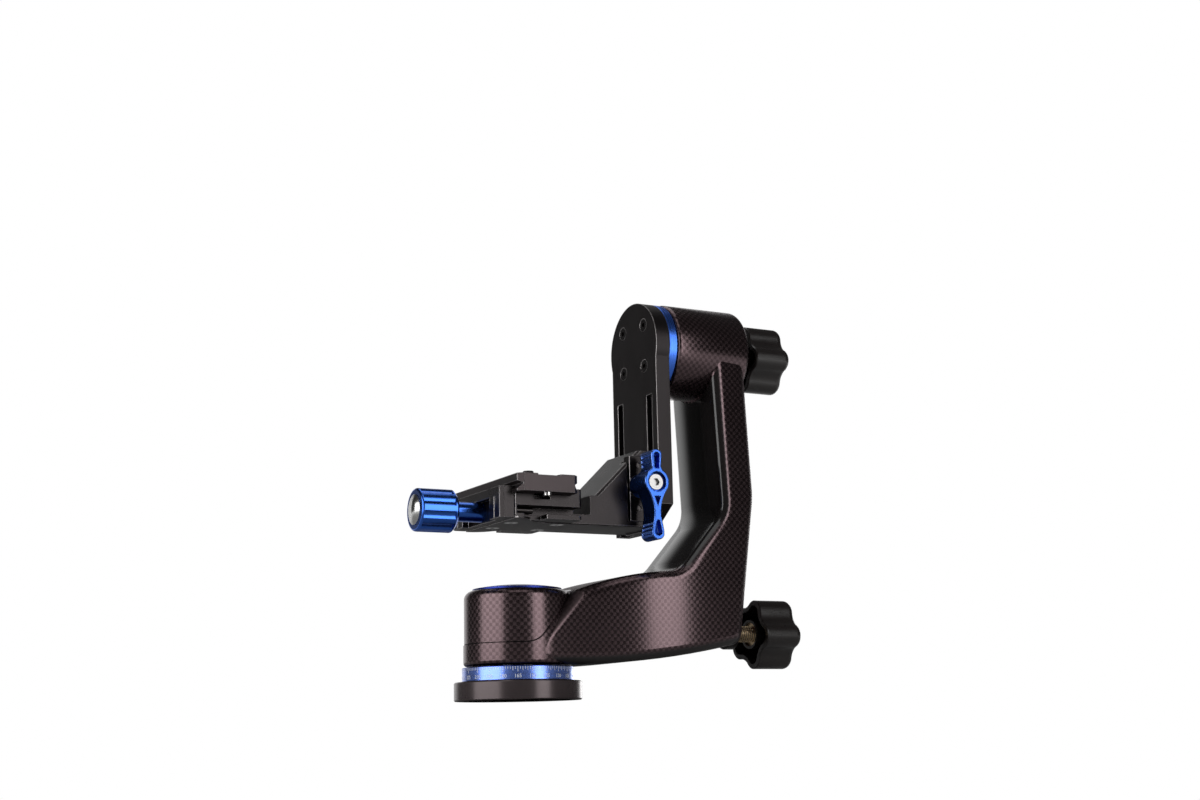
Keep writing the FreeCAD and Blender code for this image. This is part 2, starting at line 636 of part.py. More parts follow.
def shaft_profile(flange_radius, flange_low, flange_high, shoulder_high, end):
    """Flange, shoulder and shaft, from the flange face up."""
    return [
        (0, flange_low),
        (flange_radius, flange_low),
        (flange_radius, flange_high),
        (size.shoulder_radius, flange_high),
        (size.shoulder_radius, shoulder_high),
        (size.shaft_radius - size.slip / 2, shoulder_high),
        (size.shaft_radius - size.slip / 2, end),
        (0, end),
    ]


def inner_race(name, low):
    """Plain inner ring of a sealed ball bearing."""
    return tube(name, size.shaft_radius, size.shaft_radius + size.race_wall, low,
                low + size.bearing_width)


def outer_race(name, low):
    """Outer ring of a sealed ball bearing with the two shields that close it."""
    high = low + size.bearing_width
    near = size.shaft_radius + size.race_wall + size.shield_gap
    far = size.bearing_radius - size.race_wall
    return turned(name, [
        (near, low), (size.bearing_radius, low), (size.bearing_radius, high), (near, high),
        (near, high - size.shield_thick), (far, high - size.shield_thick),
        (far, low + size.shield_thick), (near, low + size.shield_thick)])


def bearing_set(prefix, lows, x, z, rotation):
    """Inner and outer rings of the two bearings of a hub."""
    for label, ring in (("inner", inner_race), ("outer", outer_race)):
        rings = [ring("%s_%s_%d" % (prefix, label, number), length(low))
                 for number, low in enumerate(lows, 1)]
        name = "%s_bearings_%s" % (prefix, label)
        sub_part(place(group(name, *rings), x, 0, z, rotation), name)


# ---- base ------------------------------------------------------------------

def base():
    """Everything that stays on the tripod."""
    edge = size.base_chamfer
    lip = size.bush_radius + size.bush_lip
    step = size.base_height - size.bush_flange
    disc = turned("flange_disc", [
        (size.bush_radius, 0), (size.base_radius - edge, 0), (size.base_radius, edge),
        (size.base_radius, size.base_height - edge), (size.base_radius - edge, size.base_height),
        (lip, size.base_height), (lip, step), (size.bush_radius, step)])
    screws = []
    holes = []
    threads = []
    for number, angle in enumerate(around(4)):
        angle += math.pi / 4
        ring = (size.shoulder_radius + spindle_flange) / 2
        x, y = ring * math.cos(angle), ring * math.sin(angle)
        reach = size.base_height + size.small_grip
        screws.append(small_screw("base_screw_%d" % number, reach, x, y))
        holes.append(small_thread("base_hole_%d" % number, reach, x, y))
        holes.append(small_sink("base_sink_%d" % number, x, y))
        threads.append(small_thread("base_thread_%d" % number, reach, x, y))
    sub_part(cut("base_flange", disc, *holes), "base_flange")
    sub_part(group("base_screws", *screws), "base_screws")
    sub_part(turned("thread_bush", [
        (size.stud_radius, 0), (size.bush_radius - size.slip, 0),
        (size.bush_radius - size.slip, step), (lip - size.slip, step),
        (lip - size.slip, size.base_height), (size.stud_radius, size.base_height)]),
        "thread_bush")
    low = size.base_height
    top = low + size.ring_height
    sub_part(turned("scale_ring", [
        (spindle_flange, low), (size.ring_radius - edge, low), (size.ring_radius, low + edge),
        (size.ring_radius, top - edge / 2), (size.ring_radius - edge / 2, top),
        (spindle_flange, top)]), "scale_ring")
    spindle = turned("spindle_blank", shaft_profile(
        spindle_flange - size.slip, low, top - 1.2, seat_one, nut_end))
    room = rod("stud_room", size.stud_radius + size.stud_clear, size.stud_depth, 0, 0, low)
    sub_part(cut("pan_spindle", spindle, room, *threads), "pan_spindle")
    sub_part(tube("pan_brake_collar", size.shaft_radius, size.collar_radius,
                  seat_one + size.bearing_width, seat_two), "pan_brake_collar")
    bearing_set("pan", (seat_one, seat_two), 0, 0, UPRIGHT)
    sub_part(retaining_nut("pan_nut", nut_seat), "pan_nut")
    sub_part(tube("pan_washer", size.shaft_radius, size.shoulder_radius - 0.3,
                  seat_end, nut_seat), "pan_washer")


def retaining_nut(name, low):
    """A round nut with four spanner slots."""
    ring = tube(name + "_ring", size.shaft_radius, size.nut_radius, low, low + size.nut_height)
    slots = []
    for number, angle in enumerate(around(4)):
        slot = doc.addObject("Part::Box", "%s_slot_%d" % (name, number))
        for side, reach in (("Length", size.nut_slot), ("Width", size.nut_slot),
                            ("Height", size.nut_slot_depth + 1)):
            bind(slot, side, reach)
        turn = FreeCAD.Rotation(Vector(0, 0, 1), math.degrees(angle))
        inward = size.nut_radius - size.nut_slot_depth
        aside = size.nut_slot / 2
        place(slot, inward * math.cos(angle) + aside * math.sin(angle),
              inward * math.sin(angle) - aside * math.cos(angle),
              low + size.nut_height - size.nut_slot_depth, turn)
        slots.append(slot)
    return cut(name, ring, *slots)


# ---- arm -------------------------------------------------------------------

def soften(body, radius, x, z, name):
    """Rounds the one crosswise corner of a padded body that lies at x, z."""
    def corner(edge):
        middle = edge.CenterOfMass
        near = abs(middle.x - length(x).value) < 0.5 and abs(middle.z - length(z).value) < 0.5
        return near and edge.BoundBox.YLength > 10
    return rounded(body, radius, corner, name)


def arm():
    """Carbon arm with the pan hub at its foot and the tilt hub at its head."""
    beam = arm_beam()
    band_top = arm_bottom + size.band_height
    crease_head = (size.crease_head_reach, arm_bottom + size.crease_head_rise)
    crease_foot = (-size.crease_foot_reach, band_top)
    band_outline = padded("arm_band_outline", "XZ_Plane", [
        (-size.base_radius, arm_bottom), (size.base_radius, arm_bottom),
        (size.base_radius, arm_bottom + size.hub_height), crease_head, crease_foot,
        (-size.base_radius, band_top)], None, 2 * size.base_radius)
    soften(band_outline, size.crease_foot_round, crease_foot[0], band_top, "arm_band_crease")
    band_outer = size.hub_radius + size.band_step
    turn = size.band_round
    band_round = turned("arm_band_round", [
        (0, arm_bottom), (band_outer - turn, arm_bottom), (band_outer, arm_bottom + turn),
        (band_outer, hub_top), (0, hub_top)], {1: (turn, 1)})
    band = common("arm_band", band_outline, band_round)

    hub = turned("arm_hub", [
        (0, arm_bottom + turn), (size.hub_radius, arm_bottom + turn),
        (size.hub_radius, hub_top - size.hub_round),
        (size.hub_radius - size.hub_round, hub_top), (0, hub_top)],
        {2: (size.hub_round, 1)})

    soft = size.tilt_hub_round
    reach = tilt_hub_end - tilt_hub_start
    tilt_hub = turned("arm_tilt_hub", [
        (0, 0), (size.tilt_hub_radius - soft, 0), (size.tilt_hub_radius, soft),
        (size.tilt_hub_radius, reach - soft), (size.tilt_hub_radius - soft, reach), (0, reach)],
        {1: (soft, 1), 3: (soft, 1)})
    place(tilt_hub, tilt_hub_start, 0, size.tilt_height, ALONG_X)

    solid = joined("arm_solid", beam, band, hub, tilt_hub)
    bore = sleeve_radius
    bush_span = bush_end - bush_start
    tools = [
        split_line(band_outline, band_top, crease_head),
        rod("arm_pan_bore", bore, size.hub_height + 1, 0, 0, arm_bottom - 1),
        rod("arm_tilt_bore", bore, reach, tilt_hub_start, 0, size.tilt_height, ALONG_X),
        rod("arm_rod_bore", size.rod_radius + size.rod_play, bush_start, 0, 0,
            size.lock_height, ALONG_X),
        rod("arm_shoe_bore", size.shoe_radius + size.rod_play,
            size.shoe_end + size.lock_travel, 0, 0, size.lock_height, ALONG_X),
        rod("arm_bush_bore", size.lock_bush_radius, bush_span, bush_start, 0,
            size.lock_height, ALONG_X),
    ]
    sub_part(cut("arm", solid, *tools), "arm")


def arm_beam():
    """Foot and upright of the arm in one sweep, wider towards the pan axis."""
    head = size.tilt_height
    outer_x = size.arm_bend_reach - size.arm_lean
    inner_x = outer_x - size.arm_depth
    slope = size.arm_lean / (head - arm_bottom - size.arm_bend_rise)
    elbow_z = arm_bottom + size.elbow_high_rise
    toe = (arm_toe, arm_bottom + size.arm_toe_rise)
    run = arm_toe - size.arm_flat
    underside = (run * run + size.arm_toe_rise * size.arm_toe_rise) / (2 * size.arm_toe_rise)
    bend = (size.arm_bend_reach, arm_bottom + size.arm_bend_rise)
    elbow_high = (inner_x + slope * (head - elbow_z), elbow_z)
    elbow_low = (size.elbow_low_reach, arm_bottom + size.elbow_low_rise)
    crease_head = (size.crease_head_reach, arm_bottom + size.crease_head_rise)
    steep = (size.crease_head_rise - size.band_height) / (
        size.crease_head_reach + size.crease_foot_reach)
    start = size.arm_root_reach
    crease_start = crease_head[1] - steep * (size.crease_head_reach - start)
    beam = padded("arm_beam", "XZ_Plane", [
        (start, arm_bottom), (size.arm_flat, arm_bottom), toe, bend, (outer_x, head),
        (inner_x, head), elbow_high, elbow_low, crease_head, (start, crease_start)],
        {1: (underside, 1), 7: (size.arm_top_round, 1)}, size.arm_root_width)
    for name, radius, corner in (
            ("toe", size.arm_toe_round, toe), ("bend", size.arm_bend_round, bend),
            ("elbow_high", size.elbow_high_round, elbow_high),
            ("elbow_low", size.elbow_low_round, elbow_low),
            ("crease_head", size.crease_head_round, crease_head)):
        soften(beam, radius, corner[0], corner[1], "arm_" + name)

    root = size.arm_root_width / 2
    narrow = size.arm_width / 2
    sketch = sketch_on(beam, "XY_Plane", "arm_taper_outline")
    for side in (-1, 1):
        outline(sketch, [(0, side * root), (size.arm_bend_reach, side * narrow),
                         (size.arm_bend_reach, side * (root + 1)), (0, side * (root + 1))])
    taper = beam.newObject("PartDesign::Pocket", "arm_taper")
    taper.Profile = sketch
    taper.Midplane = True
    bind(taper, "Length", 3 * head)
    sketch.Visibility = False
    doc.recompute()

    def on_side(point):
        half = root - (root - narrow) * (point.x / size.arm_bend_reach.value)
        return abs(abs(point.y) - half.value) < 0.02

    def long_edge(edge):
        span = edge.BoundBox
        return (all(on_side(vertex.Point) for vertex in edge.Vertexes) and span.YLength < 10
                and span.XLength > 0.1 and span.ZMin < head.value - 0.1)

    return rounded(beam, size.arm_round, long_edge, "arm_long_edges")


def split_line(band_outline, band_top, crease_head):
    """Shallow groove in the hub along the band's upper edge and the start of the crease."""
    ring = tube("arm_split_ring", size.hub_radius - size.split_depth,
                size.hub_radius + size.band_step + 1, arm_bottom, hub_top)
    steep = (crease_head[1] - band_top) / (crease_head[0] + size.crease_foot_reach)
    foot = -size.crease_foot_reach - size.split_height / 2
    end_rise = band_top + size.split_height + steep * (size.split_end - foot)
    strip = padded("arm_split_strip", "XZ_Plane", [
        (-size.base_radius, arm_bottom), (size.split_end, arm_bottom),
        (size.split_end, end_rise), (foot, band_top + size.split_height),
        (-size.base_radius, band_top + size.split_height)], None, 2 * size.base_radius)
    soften(strip, size.crease_foot_round, foot, band_top + size.split_height,
           "arm_split_crease")
    return cut("arm_split", common("arm_split_band", strip, ring), band_outline)


def bearing_sleeve(name, low, extra):
    """Metal liner that carries two bearings against an inner step."""
    step = size.bearing_radius - size.sleeve_step
    start = low + size.seat_lift - 2
    first = low + size.seat_lift + size.bearing_width
    second = first + size.bearing_spread
    end = second + size.bearing_width + extra
    return turned(name, [
        (size.bearing_radius, start), (sleeve_radius, start), (sleeve_radius, end),
        (size.bearing_radius, end), (size.bearing_radius, second), (step, second),
        (step, first), (size.bearing_radius, first)])


def arm_fittings():
    """Pieces that are fixed in the arm."""
    blank = bearing_sleeve("pan_sleeve_blank", arm_bottom, 3)
    window = rod("pan_sleeve_window", size.shoe_radius + size.slip, sleeve_radius + 1, 0, 0,
                 size.lock_height, ALONG_X)
    sub_part(cut("pan_sleeve", blank, window), "pan_sleeve")
    tilt_blank = bearing_sleeve("tilt_sleeve", length(0), 3)
    sub_part(place(tilt_blank, tilt_hub_start, 0, size.tilt_height, ALONG_X), "tilt_sleeve")

    dome = size.cap_dome
    width = size.cap_radius
    dome_radius = (width * width + dome * dome) / (2 * dome)
    cap_low = hub_top
    rim = hub_top + size.cap_rim
    spigot = sleeve_radius - size.slip
    sub_part(turned("hub_cap", [
        (0, cap_low), (spigot - 3, cap_low), (spigot - 3, cap_low - 2), (spigot, cap_low - 2),
        (spigot, cap_low), (width, cap_low), (width, rim), (0, rim + dome)],
        {6: (dome_radius, 1)}), "hub_cap")

    collar_start = arm_toe + size.lock_collar_lead
    bush = joined(
        "pan_lock_bush_blank",
        rod("pan_lock_bush_body", size.lock_bush_radius - size.slip,
            bush_end - bush_start, bush_start, 0,
            size.lock_height, ALONG_X),
        rod("pan_lock_bush_rim", size.lock_bush_collar, bush_end - collar_start,
            collar_start, 0, size.lock_height, ALONG_X))
    hole = rod("pan_lock_bush_hole", size.lock_radius + size.slip,
               bush_end - bush_start, bush_start, 0,
               size.lock_height, ALONG_X)
    sub_part(cut("pan_lock_bush", bush, hole), "pan_lock_bush")

    start = tilt_hub_end - size.tilt_cap_thick
    cap = turned("tilt_end_cap", [
        (size.lock_radius + size.slip, 0), (sleeve_radius - size.slip, 0),
        (sleeve_radius - size.slip, size.tilt_cap_thick),
        (size.lock_bush_collar, size.tilt_cap_thick),
        (size.lock_bush_collar, size.tilt_cap_thick + size.tilt_cap_collar),
        (size.lock_radius + size.slip, size.tilt_cap_thick + size.tilt_cap_collar)])
    sub_part(place(cap, start, 0, size.tilt_height, ALONG_X), "tilt_end_cap")


# ---- lock knobs --------------------------------------------------------------

def lobed_sketch(sketch, count, radius, valley, lobe, turn):
    """Round lobes joined by hollow arcs, all tangent, evenly spaced from the angle turn."""
    step = math.pi / count
    lobe_centre = radius - lobe
    inset = valley - lobe
    # A hollow arc touches both its lobes when the distance of the centres is the
    # sum of the radii; its own centre then lies `far` from the middle.
    far = (square(lobe_centre) - square(inset)) / (2 * (lobe_centre * math.cos(step) - inset))
    hollow = far - valley
    points = []
    arcs = {}
    for i in range(count):
        angle = turn + 2 * step * i
        for side in (-1, 1):
            direction = angle + side * step
            to_far = (far * math.cos(direction), far * math.sin(direction))
            here = (lobe_centre * math.cos(angle), lobe_centre * math.sin(angle))
            share = lobe / (lobe + hollow)
            points.append((here[0] + (to_far[0] - here[0]) * share,
                           here[1] + (to_far[1] - here[1]) * share))
        arcs[2 * i] = (lobe, 1)
        arcs[2 * i + 1] = (hollow, -1)
    outline(sketch, points, arcs)


def lock_knob(name, height):
    """A lobed knob, hollow towards the arm, with a core for its insert."""
    body = doc.addObject("PartDesign::Body", name + "_shell")
    sketch = sketch_on(body, "XY_Plane", name + "_lobes")
    count = int(size.knob_count.value)
    turn = math.radians(size.knob_turn.value)
    lobed_sketch(sketch, count, size.knob_radius, size.knob_valley, size.knob_lobe, turn)
    pad = body.newObject("PartDesign::Pad", name + "_pad")
    pad.Profile = sketch
    bind(pad, "Length", size.knob_length)
    doc.recompute()
    top = size.knob_length.value
    rounded(body, size.knob_edge, lambda e: e.BoundBox.ZMin > top - 0.01, name + "_rim")
    rounded(body, size.knob_lip, lambda e: e.BoundBox.ZMax < 0.01, name + "_lip", "Chamfer")
    inner = doc.addObject("PartDesign::Body", name + "_hollow")
    inner_sketch = sketch_on(inner, "XY_Plane", name + "_hollow_lobes")
    lobed_sketch(inner_sketch, count, size.knob_radius - size.knob_wall,
                 size.knob_valley - size.knob_wall, size.knob_lobe - size.knob_wall, turn)
    inner_pad = inner.newObject("PartDesign::Pad", name + "_hollow_pad")
    inner_pad.Profile = inner_sketch
    bind(inner_pad, "Length", size.knob_hollow)
    core = rod(name + "_core", size.knob_core, size.knob_hollow)
    space = cut(name + "_space", inner, core)
    seat = rod(name + "_seat", size.insert_radius, size.insert_lead + size.insert_length)
    shell = cut(name, body, space, seat)
    return sub_part(place(shell, knob_start, 0, height, ALONG_X), name)


def knob_insert(name, height):
    """Metal insert of a lock knob."""
    ring = tube(name, size.lock_radius, size.insert_radius - size.slip, size.insert_lead,
                size.insert_lead + size.insert_length)
    return sub_part(place(ring, knob_start, 0, height, ALONG_X), name)


def locks():
    """Pan lock and tilt lock."""
    end = knob_start + size.insert_lead + size.insert_length
    face = size.collar_radius + size.shoe_play
    shoe = cut("pan_brake_shoe",
               rod("shoe_blank", size.shoe_radius, size.shoe_end - size.collar_radius + 3,
                   size.collar_radius - 3, 0, size.lock_height, ALONG_X),
               rod("shoe_curve", face, 20, 0, 0, size.lock_height - 10))
    sub_part(shoe, "pan_brake_shoe")
    sub_part(rod("pan_push_rod", size.rod_radius, lock_start - size.shoe_end,
                 size.shoe_end, 0, size.lock_height, ALONG_X), "pan_push_rod")
    sub_part(rod("pan_lock_screw", size.lock_radius, end - lock_start,
                 lock_start, 0, size.lock_height, ALONG_X), "pan_lock_screw")
    lock_knob("pan_knob", size.lock_height)
    knob_insert("pan_knob_insert", size.lock_height)

    shaft_end = tilt_hub_start + tilt_stack + size.washer_thick + size.nut_height
    pad_start = shaft_end + size.slip
    pad_end = pad_start + size.pad_thick
    sub_part(rod("tilt_brake_pad", size.pad_radius, size.pad_thick, pad_start, 0,
                 size.tilt_height, ALONG_X), "tilt_brake_pad")
    sub_part(rod("tilt_lock_screw", size.lock_radius, end - pad_end, pad_end, 0,
                 size.tilt_height, ALONG_X), "tilt_lock_screw")
    lock_knob("tilt_knob", size.tilt_height)
    knob_insert("tilt_knob_insert", size.tilt_height)


# ---- swing -------------------------------------------------------------------

def swing():
    """What tilts with the lens: shaft, ring, bearings' inner parts and swing plate."""
    plate_end = plate_start + size.plate_thick
    flange = size.tilt_ring_width
    seat = tilt_hub_start + size.seat_lift - plate_end
    stack = seat + 2 * size.bearing_width + size.bearing_spread
    end = stack + size.washer_thick + size.nut_height
    ring_inner = size.tilt_ring_radius - size.ring_wall
    screws = []
    shaft_holes = []
    plate_holes = []
    for number, angle in enumerate(around(4)):
        angle += math.pi / 4
        ring = (size.shoulder_radius + ring_inner) / 2
        y = ring * math.cos(angle)
        z = size.tilt_height + ring * math.sin(angle)
        reach = size.plate_thick + flange - size.small_bottom - size.slip
        spot = (plate_start, y, z, ALONG_X)
        screws.append(small_screw("plate_screw_%d" % number, reach, *spot))
        for holes in (shaft_holes, plate_holes):
            holes.append(small_thread("plate_hole", reach, *spot))
        plate_holes.append(small_sink("plate_sink_%d" % number, *spot))
    blank = turned("tilt_shaft_blank", shaft_profile(
        ring_inner - size.slip, 0, flange, seat, end))
    place(blank, plate_end, 0, size.tilt_height, ALONG_X)
    sub_part(cut("tilt_shaft", blank, *shaft_holes), "tilt_shaft")
    edge = size.base_chamfer
    ring = turned("tilt_ring", [
        (ring_inner, 0), (size.tilt_ring_radius - edge, 0), (size.tilt_ring_radius, edge),
        (size.tilt_ring_radius, flange - edge), (size.tilt_ring_radius - edge, flange),
        (ring_inner, flange)])
    sub_part(place(ring, plate_end, 0, size.tilt_height, ALONG_X), "tilt_ring")
    first = size.seat_lift
    second = first + size.bearing_width + size.bearing_spread
    bearing_set("tilt", (first, second), tilt_hub_start, size.tilt_height, ALONG_X)
    spacer = tube("tilt_spacer", size.shaft_radius, size.shoulder_radius,
                  first + size.bearing_width, second)
    sub_part(place(spacer, tilt_hub_start, 0, size.tilt_height, ALONG_X), "tilt_spacer")
    washer = tube("tilt_washer", size.shaft_radius, size.shoulder_radius - 0.3,
                  tilt_stack, tilt_stack + size.washer_thick)
    sub_part(place(washer, tilt_hub_start, 0, size.tilt_height, ALONG_X), "tilt_washer")
    nut = retaining_nut("tilt_nut", tilt_stack + size.washer_thick)
    sub_part(place(nut, tilt_hub_start, 0, size.tilt_height, ALONG_X), "tilt_nut")
    swing_plate(plate_holes)
    sub_part(group("plate_screws", *screws), "plate_screws")


def swing_plate(holes):
    """Upright plate with two undercut grooves that leave a rail for the bracket."""
    half = size.plate_width / 2
    foot = size.plate_foot
    slab = padded("swing_slab", "YZ_Plane", [
        (-half + size.plate_cut_back, foot), (half, foot), (half, size.tilt_height),
        (-half, size.tilt_height), (-half, foot + size.plate_cut_rise)],
        None, size.plate_thick, False, plate_start)
    disc = rod("swing_disc", size.tilt_ring_radius, size.plate_thick, plate_start, 0,
               size.tilt_height, ALONG_X)
    face = plate_start
    floor = face + size.plate_groove_depth
    grooves = []
    for side in (-1, 1):
        tall = size.groove_top - foot + 5
        groove = padded("swing_groove_%s" % ("front" if side < 0 else "back"), "XY_Plane", [
            (face - 1, side * (size.rail_half + size.slip)),
            (face, side * (size.rail_half + size.slip)),
            (floor, side * (size.rail_half - size.rail_undercut)),
            (floor, side * size.plate_groove_outer),
            (face - 1, side * size.plate_groove_outer)],
            None, tall, False, foot - 5)
        grooves.append(groove)
    sub_part(cut("swing_plate", joined("swing_blank", slab, disc), *(grooves + holes)),
             "swing_plate")


# ---- bracket -----------------------------------------------------------------

# A wing's end is one arc, a little flatter than a half circle.
END_ROUND = 1.06
END_RISE = END_ROUND - math.sqrt(END_ROUND ** 2 - 1)


def lip_outline(side):
    """Hook of a height clamp jaw that lies in a groove of the swing plate."""
    start = plate_start - size.bracket_play - 1
    face = plate_start
    tip = face + size.lip_depth
    slope = size.rail_undercut / size.plate_groove_depth
    root = size.rail_half + size.slip + size.lip_play
    inner = root - slope * size.lip_depth
    return [(start, side * root), (face, side * root), (tip, side * inner),
            (tip, side * (inner + size.lip_thick)), (face, side * (root + size.lip_thick)),
            (start, side * (root + size.lip_thick))]


def bracket():
    """L bracket: bar under the clamp, slope, and the height clamp at its back."""
    foot = size.bracket_foot
    back = plate_start - size.bracket_play
    top = foot + size.bracket_top_rise
    half = size.bracket_half
    body = padded("bracket_blank", "XZ_Plane", [
        (-size.bracket_tip, foot), (back, foot), (back, top), (slope_head, top),
        (ledge, foot + size.bracket_ledge_rise),
        ((plate_start - size.bracket_step), foot + size.bracket_ledge_rise),
        ((plate_start - size.bracket_step), foot + size.bracket_bar), (-size.bracket_tip, foot + size.bracket_bar)],
        None, 2 * half)

    def on_side(edge):
        return abs(abs(edge.CenterOfMass.y) - half.value) < 0.01

    slope = (slope_head + ledge).value / 2
    rounded(body, size.bracket_slope_edge,
            lambda e: on_side(e) and abs(e.CenterOfMass.x - slope) < 0.5,
            "bracket_slope_edges", "Chamfer")
    rounded(body, size.bracket_edge,
            lambda e: on_side(e) and abs(e.CenterOfMass.z - foot.value) < 0.01,
            "bracket_lower_edges", "Chamfer")
    flange = widened_end("bracket_wide_end", foot, size.bracket_flange)
    lip = padded("bracket_lip", "XY_Plane", lip_outline(1), None, top - foot, False, foot)
    jaw_low = foot + size.jaw_inset - size.jaw_room
    jaw_high = top - size.jaw_inset + size.jaw_room
    room = box("bracket_jaw_room",
               (jaw_start - size.jaw_gap, -half - 1, jaw_low),
               (back + 1, -half + size.jaw_thick + size.jaw_gap, jaw_high))
    screw_hole = rod("bracket_screw_hole", size.lever_screw_radius + size.slip, half * 2,
                     lever_start, -half, lever_axis, ALONG_Y)
    groove = rod("bracket_screw_groove", size.qr_screw_radius + 0.5,
                 size.bracket_tip + size.qr_screw_end + 3, -size.bracket_tip - 1, 0,
                 clamp_screw_axis, ALONG_X)
    tools = [room, screw_hole, groove] + jaw_pin_rods(
        "bracket_pin_hole", size.jaw_pin_radius + size.slip, -half,
        size.jaw_pin_sink + size.jaw_pin_length + 1)
    for number, (x, y) in enumerate(clamp_screw_places()):
        tools.append(small_thread("bracket_clamp_hole_%d" % number, size.bracket_bar, x, y, foot))
        tools.append(small_sink("bracket_clamp_sink_%d" % number, x, y, foot))
    sub_part(cut("bracket", joined("bracket_solid", body, flange, lip), *tools), "bracket")
    pins = jaw_pin_rods("height_pin", size.jaw_pin_radius, size.jaw_pin_sink - half,
                        size.jaw_pin_length)
    sub_part(group("height_guide_pins", *pins), "height_guide_pins")


def widened_end(name, low, thick):
    """The bar's end under the clamp, drawn out by two smooth steps to the clamp's length."""
    tip = -size.bracket_tip
    middle = -size.bracket_wide_end
    end = middle + (middle - tip)
    wide = size.clamp_half
    narrow = size.bracket_half
    between = (wide + narrow) / 2
    run = (middle - tip)
    rise = (wide - narrow) / 2
    # Both arcs of a step start or end along the bar, so their radius follows from its size.
    turn = (square(run) + square(rise)) / (2 * rise)
    return padded(name, "XY_Plane", [
        (tip, -wide), (middle, -between), (end, -narrow), (end, narrow), (middle, between),
        (tip, wide)], {0: (turn, 1), 1: (turn, -1), 3: (turn, -1), 4: (turn, 1)},
        thick, False, low)


def jaw_pin_rods(name, radius, start, reach):
    """Two rods at the places of the height jaw's guide pins."""
    return [rod("%s_%d" % (name, number), radius, reach, lever_start, start,
                lever_axis + side * size.jaw_pin_spread, ALONG_Y)
            for number, side in enumerate((-1, 1))]


def height_jaw():
    """Front jaw of the height clamp, its lever, screw and washer."""
    foot = size.bracket_foot
    low = foot + size.jaw_inset
    high = foot + size.bracket_top_rise - size.jaw_inset
    half = size.bracket_half
    back = plate_start - size.bracket_play
    block = box("height_jaw_block", (jaw_start, -half, low), (back, -half + size.jaw_thick, high))
    lip = padded("height_jaw_lip", "XY_Plane", lip_outline(-1), None, high - low, False, low)
    hole = rod("height_jaw_hole", size.lever_screw_radius + size.jaw_room,
               size.jaw_thick + 2, lever_start, -half - 1, lever_axis, ALONG_Y)
    tools = [hole] + jaw_pin_rods("height_jaw_pin", size.jaw_pin_radius + 2 * size.slip,
                                  -half - 1, size.jaw_thick + 2)
    sub_part(cut("height_jaw", joined("height_jaw_solid", block, lip), *tools), "height_jaw")
    sub_part(place(tube("lever_washer", size.lever_screw_radius + size.jaw_room, size.lever_boss,
                        0, size.lever_washer),
                   lever_start, -half - size.lever_washer, lever_axis, ALONG_Y),
             "lever_washer")
    lever()
    face = -size.lever_face + size.lever_sink
    shank = size.lever_face - size.lever_sink - size.lever_head_height + size.lever_screw_end
    sub_part(screw("lever_screw", size.lever_screw_radius, shank, size.lever_head,
                   size.lever_head_height, size.lever_key, lever_start,
                   face + size.lever_head_height, lever_axis, ALONG_Y), "lever_screw")


def wing(hub, root, reach, neck, neck_at, tip, tip_at):
    """Half of the lever's outline, from the hub round the wing's end and back."""
    angle = math.radians(root)
    out, up = hub * math.cos(angle), hub * math.sin(angle)
    shoulder = reach - tip * END_RISE
    return [(-out, up), (-neck, neck_at), (-tip, tip_at), (-tip, shoulder),
            (tip, shoulder), (tip, tip_at), (neck, neck_at), (out, up)]


def lever_outline(inset):
    """The lever seen from the front, drawn in by an inset on all its sides."""
    inset = length(inset)
    hub = size.lever_hub - inset
    flare, hollow = size.lever_flare + inset, size.lever_hollow + inset
    up_tip, down_tip = size.lever_up_tip - inset, size.lever_down_tip - inset
    points = wing(hub, 52, size.lever_up - inset, size.lever_up_neck - inset,
                  size.lever_up_neck_at, up_tip, size.lever_up_tip_at)
    lower = wing(hub, 30, size.lever_down - inset, size.lever_down_neck - inset,
                 size.lever_down_neck_at, down_tip, size.lever_down_tip_at)
    arcs = {0: (flare, 1), 3: (up_tip * END_ROUND, -1), 6: (flare, 1), 7: (hub, -1),
            8: (hollow, 1), 11: (down_tip * END_ROUND, -1), 14: (hollow, 1), 15: (hub, -1)}
    return points + [(-x, -y) for x, y in lower], arcs


def lever_wings(thick, edge):
    """Both wings, with a bevelled face."""
    body = padded("lever_wings", "XZ_Plane", *lever_outline(0), thick - edge, False, 0)
    ends = []
    for number, (away, inset) in enumerate(((thick - edge, 0), (thick, edge))):
        sketch = sketch_on(body, "XZ_Plane", "lever_face_%d" % number)
        outline(sketch, *lever_outline(inset))
        sketch.setExpression("AttachmentOffset.Base.z", length(away).text)
        sketch.Visibility = False
        ends.append(sketch)
    bevel = body.newObject("PartDesign::AdditiveLoft", "lever_face_bevel")
    bevel.Profile = ends[0]
    bevel.Sections = ends[1:]
    bevel.Ruled = True
    doc.recompute()
    return body


def wing_half(neck, neck_at, tip, tip_at, along):
    """Half width of a wing at a distance from the lever's axis."""
    if along.value >= tip_at.value:
        return tip
    return neck + (tip - neck) * ((along - neck_at) / (tip_at - neck_at))


